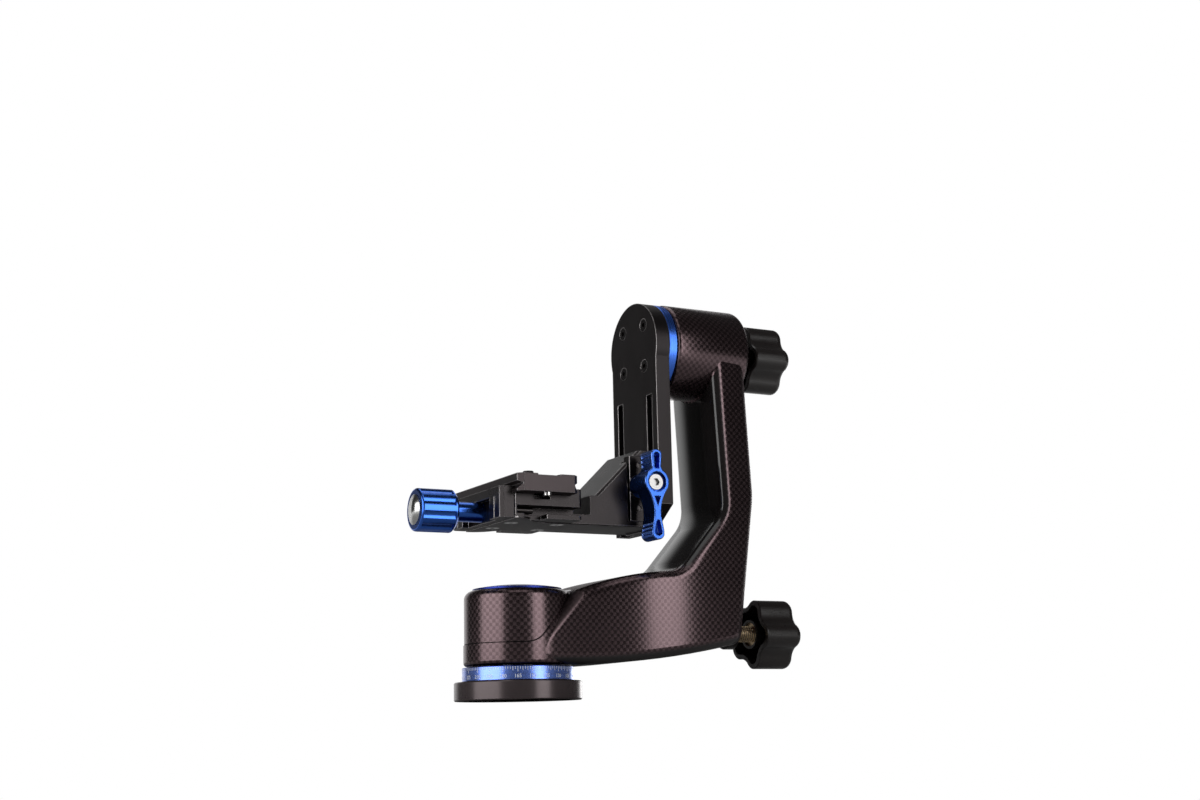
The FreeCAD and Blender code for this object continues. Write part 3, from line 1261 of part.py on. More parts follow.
def lever():
    """Two-winged lever, one wing longer, with a round boss behind it."""
    short = (size.lever_up_neck, size.lever_up_neck_at, size.lever_up_tip, size.lever_up_tip_at)
    long = (size.lever_down_neck, size.lever_down_neck_at, size.lever_down_tip,
            size.lever_down_tip_at)
    thick = size.lever_thick
    face = -size.lever_face
    body = place(lever_wings(thick, size.lever_edge), lever_start, face + thick, lever_axis)
    gap = size.lever_face - thick - size.bracket_half - size.lever_washer
    boss = rod("lever_boss", size.lever_boss, gap + 1, lever_start,
               face + thick - 1, lever_axis, ALONG_Y)
    head_room = size.lever_head + size.lever_head_room
    tools = [rod("lever_head_room", head_room, size.lever_head_height + size.lever_sink,
                 lever_start, face, lever_axis, ALONG_Y),
             rod("lever_bore", size.lever_screw_radius, size.lever_face, lever_start,
                 face, lever_axis, ALONG_Y)]
    wall = size.lever_wall
    tools += lever_slots(head_room + 1.5 * wall, wall, face)
    for label, side, reach, sizes in (("up", 1, size.lever_up, short),
                                      ("down", -1, size.lever_down, long)):
        for number in range(3):
            along = reach - size.lever_rib_start - size.lever_rib_step * number
            out = wing_half(*sizes, along) + size.lever_rib_out
            for across in (-1, 1):
                tools.append(rod("lever_rib_%s_%d" % (label, number), size.lever_rib, thick - 2,
                                 lever_start + across * out, face + 1,
                                 lever_axis + side * along, ALONG_Y))
    sub_part(cut("lever_knob", joined("lever_solid", body, boss), *tools), "lever_knob")


def lever_slots(start, wall, face):
    """Key-shaped, pointed and bell-shaped pockets in the lever's face."""
    high = size.lever_up_tip - wall
    low = size.lever_down_tip - wall
    top = size.lever_up - 1.4 * wall - high * END_RISE
    bottom = size.lever_down - 1.8 * wall - low * END_RISE
    narrow = size.lever_down_neck - 0.8 * wall
    outlines = (
        ("upper", [(size.lever_up_neck - wall, start), (high, top), (-high, top),
                   (wall - size.lever_up_neck, start)], {1: (high * END_ROUND, 1)}),
        ("middle", [(-high, -start - wall / 2), (0, -size.lever_slot_mid),
                    (high, -start - wall / 2)], {}),
        ("lower", [(-narrow, -size.lever_slot_low), (-low, -bottom), (low, -bottom),
                   (narrow, -size.lever_slot_low)],
         {1: (low * END_ROUND, 1), 3: (narrow * END_ROUND, 1)}))
    slots = []
    for label, points, arcs in outlines:
        slot = padded("lever_slot_" + label, "XZ_Plane", points, arcs,
                      size.lever_slot_depth + 1, False, 0)
        slots.append(place(slot, lever_start, face + size.lever_slot_depth, lever_axis))
    return slots


# ---- quick-release clamp -------------------------------------------------------

def clamp_screw_places():
    """Where the screws from the bracket's bar go up into the clamp body."""
    return [(x, y) for x in (-size.clamp_left + 7.5, size.clamp_right - 6)
            for y in (-size.bracket_half + 7, size.bracket_half - 7)]


def dovetail_side(side, half, low):
    """One side of the lens plate from its foot to its top, going up."""
    waist = half - size.lens_plate_waist
    edge = low + size.lens_plate_edge
    slab = low + size.lens_plate_thick - size.lens_plate_top
    return [(side * half, low), (side * half, edge),
            (side * waist, edge + size.lens_plate_waist),
            (side * waist, slab - size.lens_plate_waist * 0.55),
            (side * half, slab), (side * half, low + size.lens_plate_thick)]


def jaw_side(side, low, outer, foot, start):
    """Outline of a clamp jaw whose lip fits over the plate's foot."""
    half = size.lens_plate_half + size.slip
    edge = low + size.lens_plate_edge + size.slip
    lip = (clamp_floor + size.clamp_lip_rise)
    inward = half - (lip - edge)
    return [(side * start, foot), (side * outer, foot), (side * outer, lip),
            (side * inward, lip), (side * half, edge), (side * half, low)]


def upright_corners(body, x, name):
    """Chamfers the corners of a clamp jaw's outer side at both its ends."""
    def corner(edge):
        middle = edge.CenterOfMass
        at_end = abs(abs(middle.y) - size.clamp_half.value) < 0.01
        return at_end and abs(middle.x - length(x).value) < 0.01 and edge.BoundBox.ZLength > 5
    return rounded(body, size.clamp_corner, corner, name, "Chamfer")


def clamp():
    """Clamp body, its screws and guide pins."""
    floor = clamp_floor
    foot = clamp_foot
    half = size.clamp_half
    right = jaw_side(1, floor, size.clamp_right, foot, -size.clamp_left)
    body = padded("clamp_blank", "XZ_Plane", right + [(-size.clamp_left, floor)], None, 2 * half)
    upright_corners(body, size.clamp_right, "clamp_corners")
    bar = size.bracket_half + size.slip
    bar_top = size.bracket_foot + size.bracket_bar
    tools = [box("clamp_bar_room", (-size.clamp_left - 1, -bar, foot - 1),
                 (size.clamp_right + 1, bar, bar_top)),
             widened_end("clamp_wide_room", size.bracket_foot, size.bracket_flange)]
    for side in (-1, 1):
        outer = side * (half + 1)
        hollow = side * (half - size.clamp_slot_depth)
        low_y, high_y = (outer, hollow) if side < 0 else (hollow, outer)
        end = "front" if side < 0 else "back"
        tools.append(box("clamp_hollow_" + end,
                         (size.clamp_slot_wall - size.clamp_left, low_y,
                          foot + size.clamp_slot_low),
                         (size.clamp_right + 1, high_y, foot + size.clamp_slot_high)))
        gap = side * (half - size.clamp_gap_depth)
        low_g, high_g = (outer, gap) if side < 0 else (gap, outer)
        tools.append(box("clamp_gap_" + end, (-size.clamp_gap_left, low_g, foot - 1),
                         (size.clamp_gap_right, high_g, foot + size.clamp_slot_low + 1)))
        notch = side * (half - size.notch_depth)
        low_n, high_n = (outer, notch) if side < 0 else (notch, outer)
        tools.append(box("clamp_notch_" + end,
                         (-size.notch_half, low_n, floor - size.stop_height - 1),
                         (size.notch_half, high_n, floor + 1)))
    tools.append(rod("clamp_screw_hole", size.qr_screw_radius + size.slip,
                     size.clamp_left + size.qr_screw_end + 2, -size.clamp_left - 1, 0,
                     clamp_screw_axis, ALONG_X))
    for side in (-1, 1):
        tools.append(rod("clamp_pin_hole_%d" % (side + 1), size.qr_pin_radius,
                         size.clamp_left - size.qr_pin_end + 1, -size.clamp_left - 1,
                         side * size.qr_pin_offset, clamp_pin_axis, ALONG_X))
    screws = []
    for number, (x, y) in enumerate(clamp_screw_places()):
        reach = size.bracket_bar + size.small_grip
        tools.append(small_thread("clamp_thread_%d" % number, reach, x, y, size.bracket_foot))
        screws.append(small_screw("clamp_screw_%d" % number, reach, x, y, size.bracket_foot))
    sub_part(cut("clamp_body", body, *tools), "clamp_body")
    sub_part(group("clamp_screws", *screws), "clamp_screws")
    start = -size.qr_left + size.qr_rib_depth + 1 + size.slip
    pins = [rod("qr_pin_%d" % (side + 1), size.qr_pin_radius - size.slip / 2,
                -start - size.qr_pin_end, start, side * size.qr_pin_offset, clamp_pin_axis,
                ALONG_X) for side in (-1, 1)]
    sub_part(group("clamp_guide_pins", *pins), "clamp_guide_pins")


def moving_jaw():
    """Left jaw of the clamp with the knob that draws it in."""
    floor = clamp_floor
    inner = size.clamp_left + size.qr_gap
    left = jaw_side(-1, floor, size.qr_left, clamp_foot, inner)
    left[-1] = (-(size.lens_plate_half + size.slip), floor)
    left.append((-inner, floor))
    body = padded("qr_jaw_blank", "XZ_Plane", left, None, 2 * size.clamp_half)
    upright_corners(body, -size.qr_left, "qr_jaw_corners")
    pocket = box("qr_jaw_pocket", (-size.qr_left - 1, -size.qr_pocket_half, clamp_foot - 1),
                 (-size.qr_left + size.qr_pocket_depth, size.qr_pocket_half, floor - 1.5))
    hole = rod("qr_jaw_hole", size.qr_screw_radius + 0.3, 20, -size.qr_left - 1, 0,
               clamp_screw_axis, ALONG_X)
    tools = [pocket, hole]
    for side in (-1, 1):
        tools.append(rod("qr_jaw_pin_%d" % (side + 1), size.qr_pin_radius + size.slip,
                         size.qr_left, -size.qr_left + size.qr_rib_depth + 1,
                         side * size.qr_pin_offset, clamp_pin_axis, ALONG_X))
        low_y, high_y = (side * size.qr_rib_at - size.qr_rib_width / 2,
                         side * size.qr_rib_at + size.qr_rib_width / 2)
        tools.append(box("qr_jaw_rib_%d" % (side + 1), (-size.qr_left - 1, low_y, clamp_foot - 1),
                         (-size.qr_left + size.qr_rib_depth, high_y, floor - 1.5)))
    sub_part(cut("qr_jaw", body, *tools), "qr_jaw")
    qr_knob()


def qr_knob():
    """Fluted knob with neck, clamp screw and end cap, along -X."""
    root = size.qr_knob_root
    span = size.qr_knob_end - root
    seat = size.qr_left - size.qr_pocket_depth
    neck = root - seat
    edge = length(1.5)
    cap_seat = span - size.qr_cap_depth
    blank = turned("qr_knob_blank", [
        (size.qr_screw_radius, -neck + size.slip), (size.qr_neck_radius, -neck + size.slip),
        (size.qr_neck_radius, 0), (size.qr_knob_radius - edge, 0), (size.qr_knob_radius, edge),
        (size.qr_knob_radius, span - edge), (size.qr_knob_radius - edge, span),
        (size.qr_cap_radius, span), (size.qr_cap_radius, cap_seat),
        (size.qr_screw_radius, cap_seat)], {5: (edge, 1)})
    count = int(size.qr_flute_count.value)
    flutes = []
    for number, angle in enumerate(around(count)):
        away = size.qr_knob_radius + size.qr_flute_radius - size.qr_flute_depth
        flutes.append(rod("qr_flute_%d" % number, size.qr_flute_radius, span - 1.2 - 2.2,
                          away * math.cos(angle), away * math.sin(angle), 2.2))
    knob = cut("qr_knob", blank, *flutes)
    sub_part(place(knob, -root, 0, clamp_screw_axis, AGAINST_X), "qr_knob")
    screw_span = root + cap_seat + size.qr_screw_end
    sub_part(rod("qr_screw", size.qr_screw_radius - size.slip / 5, screw_span,
                 size.qr_screw_end, 0, clamp_screw_axis, AGAINST_X), "qr_screw")
    dome = size.qr_cap_dome
    wide = size.qr_cap_radius - size.slip
    bulge = (wide * wide + dome * dome) / (2 * dome)
    depth = size.qr_cap_depth
    cap = turned("qr_knob_cap", [(0, cap_seat), (wide, cap_seat), (wide, cap_seat + depth + 0.4),
                                 (0, cap_seat + depth + 0.4 + dome)], {2: (bulge, 1)})
    sub_part(place(cap, -root, 0, clamp_screw_axis, AGAINST_X), "qr_knob_cap")


# ---- lens plate ----------------------------------------------------------------

def lens_plate():
    """Dovetail plate with a slot, two lens screws, rubber pads and stop screws."""
    low = clamp_floor + size.slip
    half = size.lens_plate_half
    right = dovetail_side(1, half, low)
    left = [(-x, y) for x, y in reversed(right)]
    span = size.lens_plate_front + size.lens_plate_back
    body = padded("lens_plate_blank", "XZ_Plane", right + left, None, span, False, 0)
    place(body, 0, size.lens_plate_back, 0)
    front, back, corner = -size.lens_plate_front, size.lens_plate_back, size.lens_plate_corner
    plan = padded("lens_plate_plan", "XY_Plane", [
        (corner - half, front), (half - corner, front), (half, front + corner),
        (half, back - corner), (half - corner, back), (corner - half, back),
        (-half, back - corner), (-half, front + corner)],
        None, size.lens_plate_thick, False, low)
    middle = (size.lens_plate_back - size.lens_plate_front) / 2
    top = low + size.lens_plate_thick
    slot_radius = size.lens_slot_radius
    reach = size.lens_slot_half
    recess = size.lens_screw_head + size.lens_recess_play
    recess_depth = size.lens_recess_depth
    channel = size.lens_channel_half
    tools = [box("plate_channel", (-channel, front - 1, top - size.lens_channel_depth),
                 (channel, back + 1, top + 1))]
    for tag, wide, z_low, z_high in (("slot", slot_radius, low - 1, top + 1),
                                     ("recess", recess, low - 1, low + recess_depth)):
        tools.append(box("plate_" + tag, (-wide, middle - reach, z_low), (wide, middle + reach, z_high)))
        for side in (-1, 1):
            tools.append(rod("plate_%s_end_%d" % (tag, side + 1), wide, z_high - z_low, 0,
                             middle + side * reach, z_low))
    pads = []
    pad_low = top + size.rubber_proud - size.rubber_thick
    for side in (-1, 1):
        near, far = side * size.pad_slot, side * size.pad_half
        x_low, x_high = (far, near) if side < 0 else (near, far)
        corners = ((x_low, -size.lens_plate_front + size.pad_inset, pad_low),
                   (x_high, size.lens_plate_back - size.pad_inset, top + size.rubber_proud))
        pads.append(box("rubber_%d" % (side + 1), *corners))
        tools.append(box("rubber_seat_%d" % (side + 1), corners[0],
                         (corners[1][0], corners[1][1], top + 1)))
    stops = []
    for label, y in (("front", -size.lens_plate_front + size.stop_inset),
                     ("back", size.lens_plate_back - size.stop_inset)):
        tools.append(rod("stop_thread_" + label, size.stop_shank + size.slip,
                         size.stop_reach + 1.5, 0, y, low - 1))
        stops.append(screw("stop_screw_" + label, size.stop_shank, size.stop_reach,
                           size.stop_radius, size.stop_height, size.stop_key, 0, y, low))
    sub_part(cut("lens_plate", common("lens_plate_trim", body, plan), *tools), "lens_plate")
    sub_part(group("rubber_pads", *pads), "rubber_pads")
    sub_part(group("stop_screws", *stops), "stop_screws")
    for label, side in (("front", -1), ("back", 1)):
        lens_screw("lens_screw_" + label, middle + side * size.lens_screw_spread,
                   low + recess_depth - size.slip, top)


def lens_screw(name, y, head_top, plate_top):
    """Captive screw: socket head below, slim neck in the slot, thread above the pads."""
    head_low = head_top - size.lens_head_height
    start = plate_top + size.rubber_proud + size.lens_thread_lift
    end = plate_top + size.lens_screw_stand
    edge = size.lens_thread_edge
    blank = turned(name + "_blank", [
        (0, head_low), (size.lens_screw_head, head_low), (size.lens_screw_head, head_top),
        (size.lens_screw_neck, head_top), (size.lens_screw_neck, start),
        (size.lens_screw_radius, start), (size.lens_screw_radius, end - edge),
        (size.lens_screw_radius - edge, end), (0, end)])
    key = hexagon(name + "_key", size.lens_key_radius, size.lens_key_depth, 0, 0, head_low)
    sub_part(place(cut(name, blank, key), 0, y, 0), name)


def export():
    """Checks every object and writes one STEP file for each sub-part."""
    doc.recompute()
    for obj in doc.Objects:
        bad = [state for state in obj.State if state in ("Invalid", "Error")]
        if bad:
            raise RuntimeError("%s is %s" % (obj.Name, bad))
    os.makedirs("parts", exist_ok=True)
    for obj in sub_parts:
        if obj.Shape.isNull() or not obj.Shape.isValid():
            raise RuntimeError("%s has no valid shape" % obj.Label)
    for obj in sub_parts:
        obj.Shape.exportStep("parts/%s.step" % obj.Label)


base()
arm()
arm_fittings()
locks()
swing()
bracket()
height_jaw()
clamp()
moving_jaw()
lens_plate()
export()
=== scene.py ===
"""Gimbal tripod head: finishes, scale and stage, laid out as an add-on and run as a script."""

import math

import bpy
from bpy.props import FloatProperty, FloatVectorProperty, IntProperty, PointerProperty
from mathutils import Matrix, Vector


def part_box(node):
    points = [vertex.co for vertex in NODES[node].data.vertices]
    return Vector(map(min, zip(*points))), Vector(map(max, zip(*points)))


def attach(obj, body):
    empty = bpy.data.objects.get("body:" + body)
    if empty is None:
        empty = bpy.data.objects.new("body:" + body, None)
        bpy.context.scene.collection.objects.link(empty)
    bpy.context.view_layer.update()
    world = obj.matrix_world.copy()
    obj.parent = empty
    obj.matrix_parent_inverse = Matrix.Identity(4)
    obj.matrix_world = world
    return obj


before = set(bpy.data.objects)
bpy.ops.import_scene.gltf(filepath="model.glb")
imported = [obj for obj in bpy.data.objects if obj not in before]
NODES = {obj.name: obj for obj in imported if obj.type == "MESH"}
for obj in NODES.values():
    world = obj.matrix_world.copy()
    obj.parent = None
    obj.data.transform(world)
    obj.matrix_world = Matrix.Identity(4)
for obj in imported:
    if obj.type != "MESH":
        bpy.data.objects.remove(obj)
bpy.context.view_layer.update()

bl_info = {
    "name": "Gimbal tripod head",
    "version": (1, 0, 0),
    "blender": (4, 5, 0),
    "location": "3D View > Sidebar > Gimbal",
    "description": "Dresses the packed gimbal head with its finishes, scale and studio stage",
    "category": "Object",
}

MM = 0.001
TURN = 2.0 * math.pi

# Where the arm's finish changes: the pan axis is Z, and the beam runs out along X.
HUB_EDGE = 31.6 * MM                    # radius where the pan hub ends and the beam starts
TILT_HUB_EDGE = 30.5 * MM               # the same radius about the tilt axis
TILT_HUB_BORE = 22 * MM                 # inside this radius the weave lies flat again
TILT_HUB_START = 90 * MM                # the tilt hub lies beyond this x
MOULD_LINE = (30.0 * MM, 30.8 * MM)     # radii of the groove round the pan hub, painted dark as shade
MOULD_LINE_TOP = 50 * MM
CREASE_SHADE_FADE = (40 * MM, 60 * MM)        # x over which the painted shade in the crease beside the hub fades
INNER_START = (62 * MM, 70 * MM)        # x over which the smooth inner face begins
PAN_HUB_CHECKS = 48                     # checks of the weave round each hub
TILT_HUB_CHECKS = 44
# Painted shade in the groove round the pan hub.
MOULD_LINE_SHADE_TONE = (0.004, 0.004, 0.004)
# Painted shade in the crease beside the pan hub, dimming its highlight.
CREASE_SHADE_TONE = (0.010, 0.007, 0.007)

# Slight curves of the arm's faces, drawn by bump as arcs of these radii: the pan hub's
# roundness carried on along the beam, then a crown, and the inner face's own crown.
ROUND_START = 4.4 * MM
ROUND_RADIUS = 31 * MM
CROWN_START = 10 * MM                   # x where the crown takes over from the hub's roundness
CROWN_MIDDLE = 101.5 * MM
CROWN_RADIUS = 125 * MM
INNER_RADIUS = 100 * MM

# Surface detail.
FIBRE_SCALE = 5200.0
FIBRE_STRETCH = 0.12
WEAVE_DEPTH = 0.02 * MM
GRIT_DEPTH = 0.012 * MM
LATHE_DEPTH = 0.010 * MM
MOULD_DEPTH = 0.020 * MM
RIB_DEPTH = 0.2 * MM
RIB_STEP = 1.1 * MM
WORN_HIGHLIGHT_WIDTH = 0.8 * MM                   # radius that an edge is worn to, also given a painted highlight

# Scale ring.
TICK_WIDTH = 0.28 * MM
TICK_LENGTH, FIFTH_LENGTH, LABEL_TICK_LENGTH = 1.5 * MM, 2.3 * MM, 2.9 * MM
FIFTH = 5                               # degrees between the middle-sized ticks
SCALE_TOP = 0.5 * MM                    # ticks hang this far below the ring's top
LABEL_FOOT = 1.5 * MM                   # numbers stand this far above its foot
PAINT = 0.03 * MM                       # the marks stand this far proud of the ring
RIM_LOW, RIM_HIGH = 0.35 * MM, 0.45 * MM
FIGURE_HEIGHT = 0.73                    # height of a figure in a font of size 1

# Stage: lamps by name, turn and lift in degrees, distance, width, height and level.
LAMPS = (
    ("softbox_left", -173.0, 12.0, 1.5, 1.45, 1.1, 3.4),
    ("softbox_right", -72.0, 12.0, 1.5, 0.68, 1.2, 4.0),
    ("rim_right", 40.0, 5.0, 1.6, 0.5, 0.5, 2.6),
    ("softbox_high", -112.0, 62.0, 1.5, 0.9, 0.7, 1.2),
    ("softbox_top", 80.0, 72.0, 1.6, 1.2, 1.2, 1.5),
)
LAMP_AIM = Vector((0.06, 0.0, 0.12))
WHITE = (1.0, 1.0, 1.0)
TABLE_GREY = (0.50, 0.50, 0.50)
TABLE_REACH = 6.0
TABLE_DROP = 0.5 * MM
BACKDROP_WAY = (0.43, 0.90)             # level direction of the backdrop, behind the head
ROOM_LEVEL = 0.035                      # light of the dim room in front
BACKDROP_LEVEL = 0.5                    # light that the backdrop adds to it

CAMERA_PLACE = (-0.4202, -0.8875, -0.0215)
CAMERA_YAW = math.radians(28.30)
CAMERA_PITCH = math.radians(11.371)
CAMERA_ROLL = math.radians(-1.210)
FOCAL_PIXELS = 1675.6
IMAGE_WIDTH = 1200
SENSOR = 36.0


# ---- settings ----------------------------------------------------------------

def colour(name, description, value):
    """A colour property with the same kind of entry throughout."""
    return FloatVectorProperty(name=name, description=description, default=value,
                               subtype="COLOR", size=3, min=0.0, max=1.0)


class GIMBAL_PG_colours(bpy.types.PropertyGroup):
    """Colours of the head's finishes."""
    carbon_light: colour("Carbon, lit tows", "Tows that face the light", (0.118, 0.082, 0.088))
    carbon_dark: colour("Carbon, dark tows", "Tows that turn away", (0.058, 0.039, 0.042))
    # Resin colour of the smooth inner faces, also painted on the arm's undersides as shade.
    resin: colour("Smooth resin", "Inner faces and underside of the arm", (0.014, 0.012, 0.012))
    black: colour("Black anodising", "Swing plate, bracket and clamp", (0.013, 0.010, 0.0105))
    # Edge colour of the black pieces: wear, and a painted highlight along the edges.
    rubbed: colour("Rubbed edges", "Edges of the black pieces", (0.55, 0.52, 0.52))
    lens_plate: colour("Lens plate anodising", "Lens plate", (0.026, 0.019, 0.020))
    flange: colour("Flange anodising", "Disc under the scale ring", (0.076, 0.060, 0.062))
    blue: colour("Light blue anodising", "Scale ring and tilt ring", (0.072, 0.20, 0.80))
    rim_blue: colour("Ring rims", "Upper and lower rim of the scale ring", (0.015, 0.04, 0.30))
    cap_blue: colour("Hub cap anodising", "Cap on the pan hub", (0.022, 0.035, 0.20))
    deep_blue: colour("Deep blue anodising", "Lever and clamp knob", (0.040, 0.125, 0.50))
    # Edge colour of the lever: wear, and a painted highlight along the edges.
    rubbed_blue: colour("Rubbed blue edges", "Edges of the lever", (0.26, 0.42, 0.90))
    plastic: colour("Knob plastic", "Moulded lock knobs", (0.013, 0.0105, 0.010))
    rubber: colour("Rubber", "Grip pads of the lens plate", (0.018, 0.018, 0.018))
    steel: colour("Steel", "Screws, pins and bearings", (0.56, 0.55, 0.54))
    knob_steel: colour("Knob cap steel", "End cap of the clamp knob", (0.50, 0.50, 0.49))
    pin_steel: colour("Blackened pins", "Guide pins of both jaws", (0.05, 0.045, 0.045))
    screw_steel: colour("Blackened clamp screw", "Screw of the clamp knob", (0.03, 0.03, 0.03))
    brass: colour("Brass", "Lock screws and their inserts", (0.86, 0.66, 0.42))
    marking: colour("Marking", "Graduations and numbers", (0.80, 0.84, 0.90))


class GIMBAL_PG_sizes(bpy.types.PropertyGroup):
    """Sizes of the surface detail."""
    tow: FloatProperty(name="Tow width", description="Width of one carbon tow",
                       default=2.05 * MM, unit="LENGTH", precision=5)
    tick_step: FloatProperty(name="Tick step", description="Angle between two graduations",
                             default=math.radians(2.5), subtype="ANGLE")
    label_step: IntProperty(name="Label step", description="Degrees between two numbers",
                            default=15, min=5, max=90)
    label_height: FloatProperty(name="Label height", description="Height of the numbers",
                                default=2.1 * MM, unit="LENGTH", precision=5)
    zero_turn: FloatProperty(name="Zero direction", description="Direction of the scale's zero",
                             default=math.radians(49.7), subtype="ANGLE")
    thread_pitch: FloatProperty(name="Thread pitch", description="Pitch of the lock screws",
                                default=1.5 * MM, unit="LENGTH", precision=5)


# ---- shader maths --------------------------------------------------------------

class Term:
    """A socket of a material's maths; operators on it add Math nodes."""

    def __init__(self, wiring, socket):
        self.wiring = wiring
        self.socket = socket

    def maths(self, operation, *others):
        """One Math node with this term first."""
        return self.wiring.node("ShaderNodeMath", {"operation": operation},
                                dict(enumerate((self,) + others)))

    def __add__(self, other):
        return self.maths("ADD", other)

    def __sub__(self, other):
        return self.maths("SUBTRACT", other)

    def __rsub__(self, other):
        return self.wiring.node("ShaderNodeMath", {"operation": "SUBTRACT"}, {0: other, 1: self})

    def __mul__(self, other):
        return self.maths("MULTIPLY", other)

    def __truediv__(self, other):
        return self.maths("DIVIDE", other)

    def __pow__(self, other):
        return self.maths("POWER", other)

    def __gt__(self, other):
        return self.maths("GREATER_THAN", other)

    def __lt__(self, other):
        return self.maths("LESS_THAN", other)

    def __abs__(self):
        return self.maths("ABSOLUTE")

    __radd__ = __add__
    __rmul__ = __mul__

    def sine(self):
        """Sine of an angle in radians."""
        return self.maths("SINE")

    def angle(self, across):
        """Direction in radians of the point (across, this term)."""
        return self.maths("ARCTAN2", across)

    def at_least(self, other):
        """The larger of two values."""
        return self.maths("MAXIMUM", other)

    def clamp(self):
        """Kept between 0 and 1."""
        return self.wiring.node("ShaderNodeClamp", {}, {"Value": self})

    def ramp(self, low, high):
        """Smooth step from 0 at low to 1 at high."""
        return self.wiring.node("ShaderNodeMapRange", {"interpolation_type": "SMOOTHSTEP"},
                                {"Value": self, "From Min": low, "From Max": high})

    def choose(self, if_one, if_zero):
        """The first value where this mask is 1, the second where it is 0."""
        return if_zero + self * (if_one - if_zero)


class Wiring:
    """The node tree of one material, with a single method for every kind of node."""

    def __init__(self, name, world=False):
        data = bpy.data.worlds if world else bpy.data.materials
        self.owner = data.new(name)
        self.owner.use_nodes = True
        self.tree = self.owner.node_tree
        self.tree.nodes.clear()

    def node(self, kind, settings, sockets, out=0):
        """Adds a node: settings first, then values or links; gives one of its outputs, if any."""
        item = self.tree.nodes.new(kind)
        for key, value in settings.items():
            setattr(item, key, value)
        for key, value in sockets.items():
            if isinstance(value, Term):
                self.tree.links.new(value.socket, item.inputs[key])
            else:
                item.inputs[key].default_value = value
        return None if out is None else Term(self, item.outputs[out])

    def split(self, vector):
        """A vector's three parts as terms."""
        parts = self.node("ShaderNodeSeparateXYZ", {}, {"Vector": vector})
        return [Term(self, parts.socket.node.outputs[i]) for i in range(3)]

    def vector(self, x, y, z):
        """A vector from three parts."""
        return self.node("ShaderNodeCombineXYZ", {}, {"X": x, "Y": y, "Z": z})

    def place(self):
        """Object coordinates as three terms."""
        return self.split(self.node("ShaderNodeTexCoord", {}, {}, "Object"))

    def facing(self):
        """Object-space normal as three terms."""
        return self.split(self.node("ShaderNodeTexCoord", {}, {}, "Normal"))

    def ray(self, kind):
        """1 for rays of one kind: Camera, Glossy or Transmission."""
        return self.node("ShaderNodeLightPath", {}, {}, f"Is {kind} Ray")

    def backdrop_share(self, in_metal):
        """How much of the white backdrop a ray sees: the camera all of it, metal and glass
        the share that is given."""
        through_or_off = self.ray("Glossy") + self.ray("Transmission")
        return (self.ray("Camera") + through_or_off * in_metal).clamp()

    def noise(self, scale, detail=2.0, roughness=0.55, where=None):
        """Noise over the object, or over another vector."""
        if where is None:
            where = self.node("ShaderNodeTexCoord", {}, {}, "Object")
        return self.node("ShaderNodeTexNoise", {}, {
            "Vector": where, "Scale": scale, "Detail": detail, "Roughness": roughness})

    def blend(self, factor, first, second):
        """A colour between two colours."""
        return self.node("ShaderNodeMix", {"data_type": "RGBA"},
                         {0: factor, 6: opaque(first), 7: opaque(second)}, 2)

    def lean(self, factor, first, second):
        """A normal between two normals."""
        return self.node("ShaderNodeMix", {"data_type": "VECTOR"},
                         {0: factor, 4: first, 5: second}, 1)

    def bump(self, height, depth, strength=1.0, **over):
        """Normal of a height map; Normal=... lays it over another normal."""
        return self.node("ShaderNodeBump", {}, {
            "Height": height, "Distance": depth, "Strength": strength, **over}, "Normal")

    def edges(self, radius):
        """Softened normal, and how far a point lies on a sharp edge, from 0 to 1."""
        soft = self.node("ShaderNodeBevel", {"samples": 4}, {"Radius": radius})
        plain = self.node("ShaderNodeNewGeometry", {}, {}, "Normal")
        likeness = self.node("ShaderNodeVectorMath", {"operation": "DOT_PRODUCT"},
                             {0: soft, 1: plain}, "Value")
        return soft, (1.0 - likeness).ramp(0.01, 0.10)

    def surface(self, **sockets):
        """Principled surface to the material output; names use _ for a space."""
        values = {}
        for key, value in sockets.items():
            name = key.replace("_", " ").title().replace("Ior", "IOR")
            values[name] = opaque(value) if name == "Base Color" else value
        return self.end("ShaderNodeOutputMaterial",
                        self.node("ShaderNodeBsdfPrincipled", {}, values))

    def end(self, kind, shader):
        """Links a shader to a new output node and gives the finished material or world."""
        self.node(kind, {}, {"Surface": shader}, None)
        return self.owner


def opaque(tone):
    """A colour with full alpha, as sockets take it; a term stays as it is."""
    return tone if isinstance(tone, Term) else (*tone, 1.0)


def shade(tone, factor):
    """A colour made darker or lighter by a factor."""
    return tuple(min(1.0, part * factor) for part in tone)


def arc(off, radius):
    """Height of a shallow arc of a radius, falling away from its crest."""
    return off * off * (-0.5 / radius)


def dress(material, *names):
    """Gives CAD nodes a material."""
    for name in names:
        mesh = NODES[name].data
        mesh.materials.clear()
        mesh.materials.append(material)


def middle(node):
    """Middle of a node's box."""
    low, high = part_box(node)
    return [(a + b) / 2 for a, b in zip(low, high)]


# ---- finishes --------------------------------------------------------------------

def cloth_place(period, place, facing, near_hub, near_tilt):
    """Where a point lies on the cloth: flat on the beam's sides, and wound round the hubs."""
    x, y, z = place
    nx, ny, nz = facing
    high = z - middle("tilt_sleeve")[2]
    flat = abs(ny) > 0.72
    level = abs(nz) > abs(nx)
    u = flat.choose(x, level.choose(x, z))
    v = flat.choose(z, y)
    u = near_tilt.choose(x, u)
    v = near_tilt.choose(high.angle(y) * (TILT_HUB_CHECKS * period / TURN), v)
    u = near_hub.choose((y.angle(x) + TURN / 4) * (PAN_HUB_CHECKS * period / TURN), u)
    v = near_hub.choose(z, v)
    return u, v


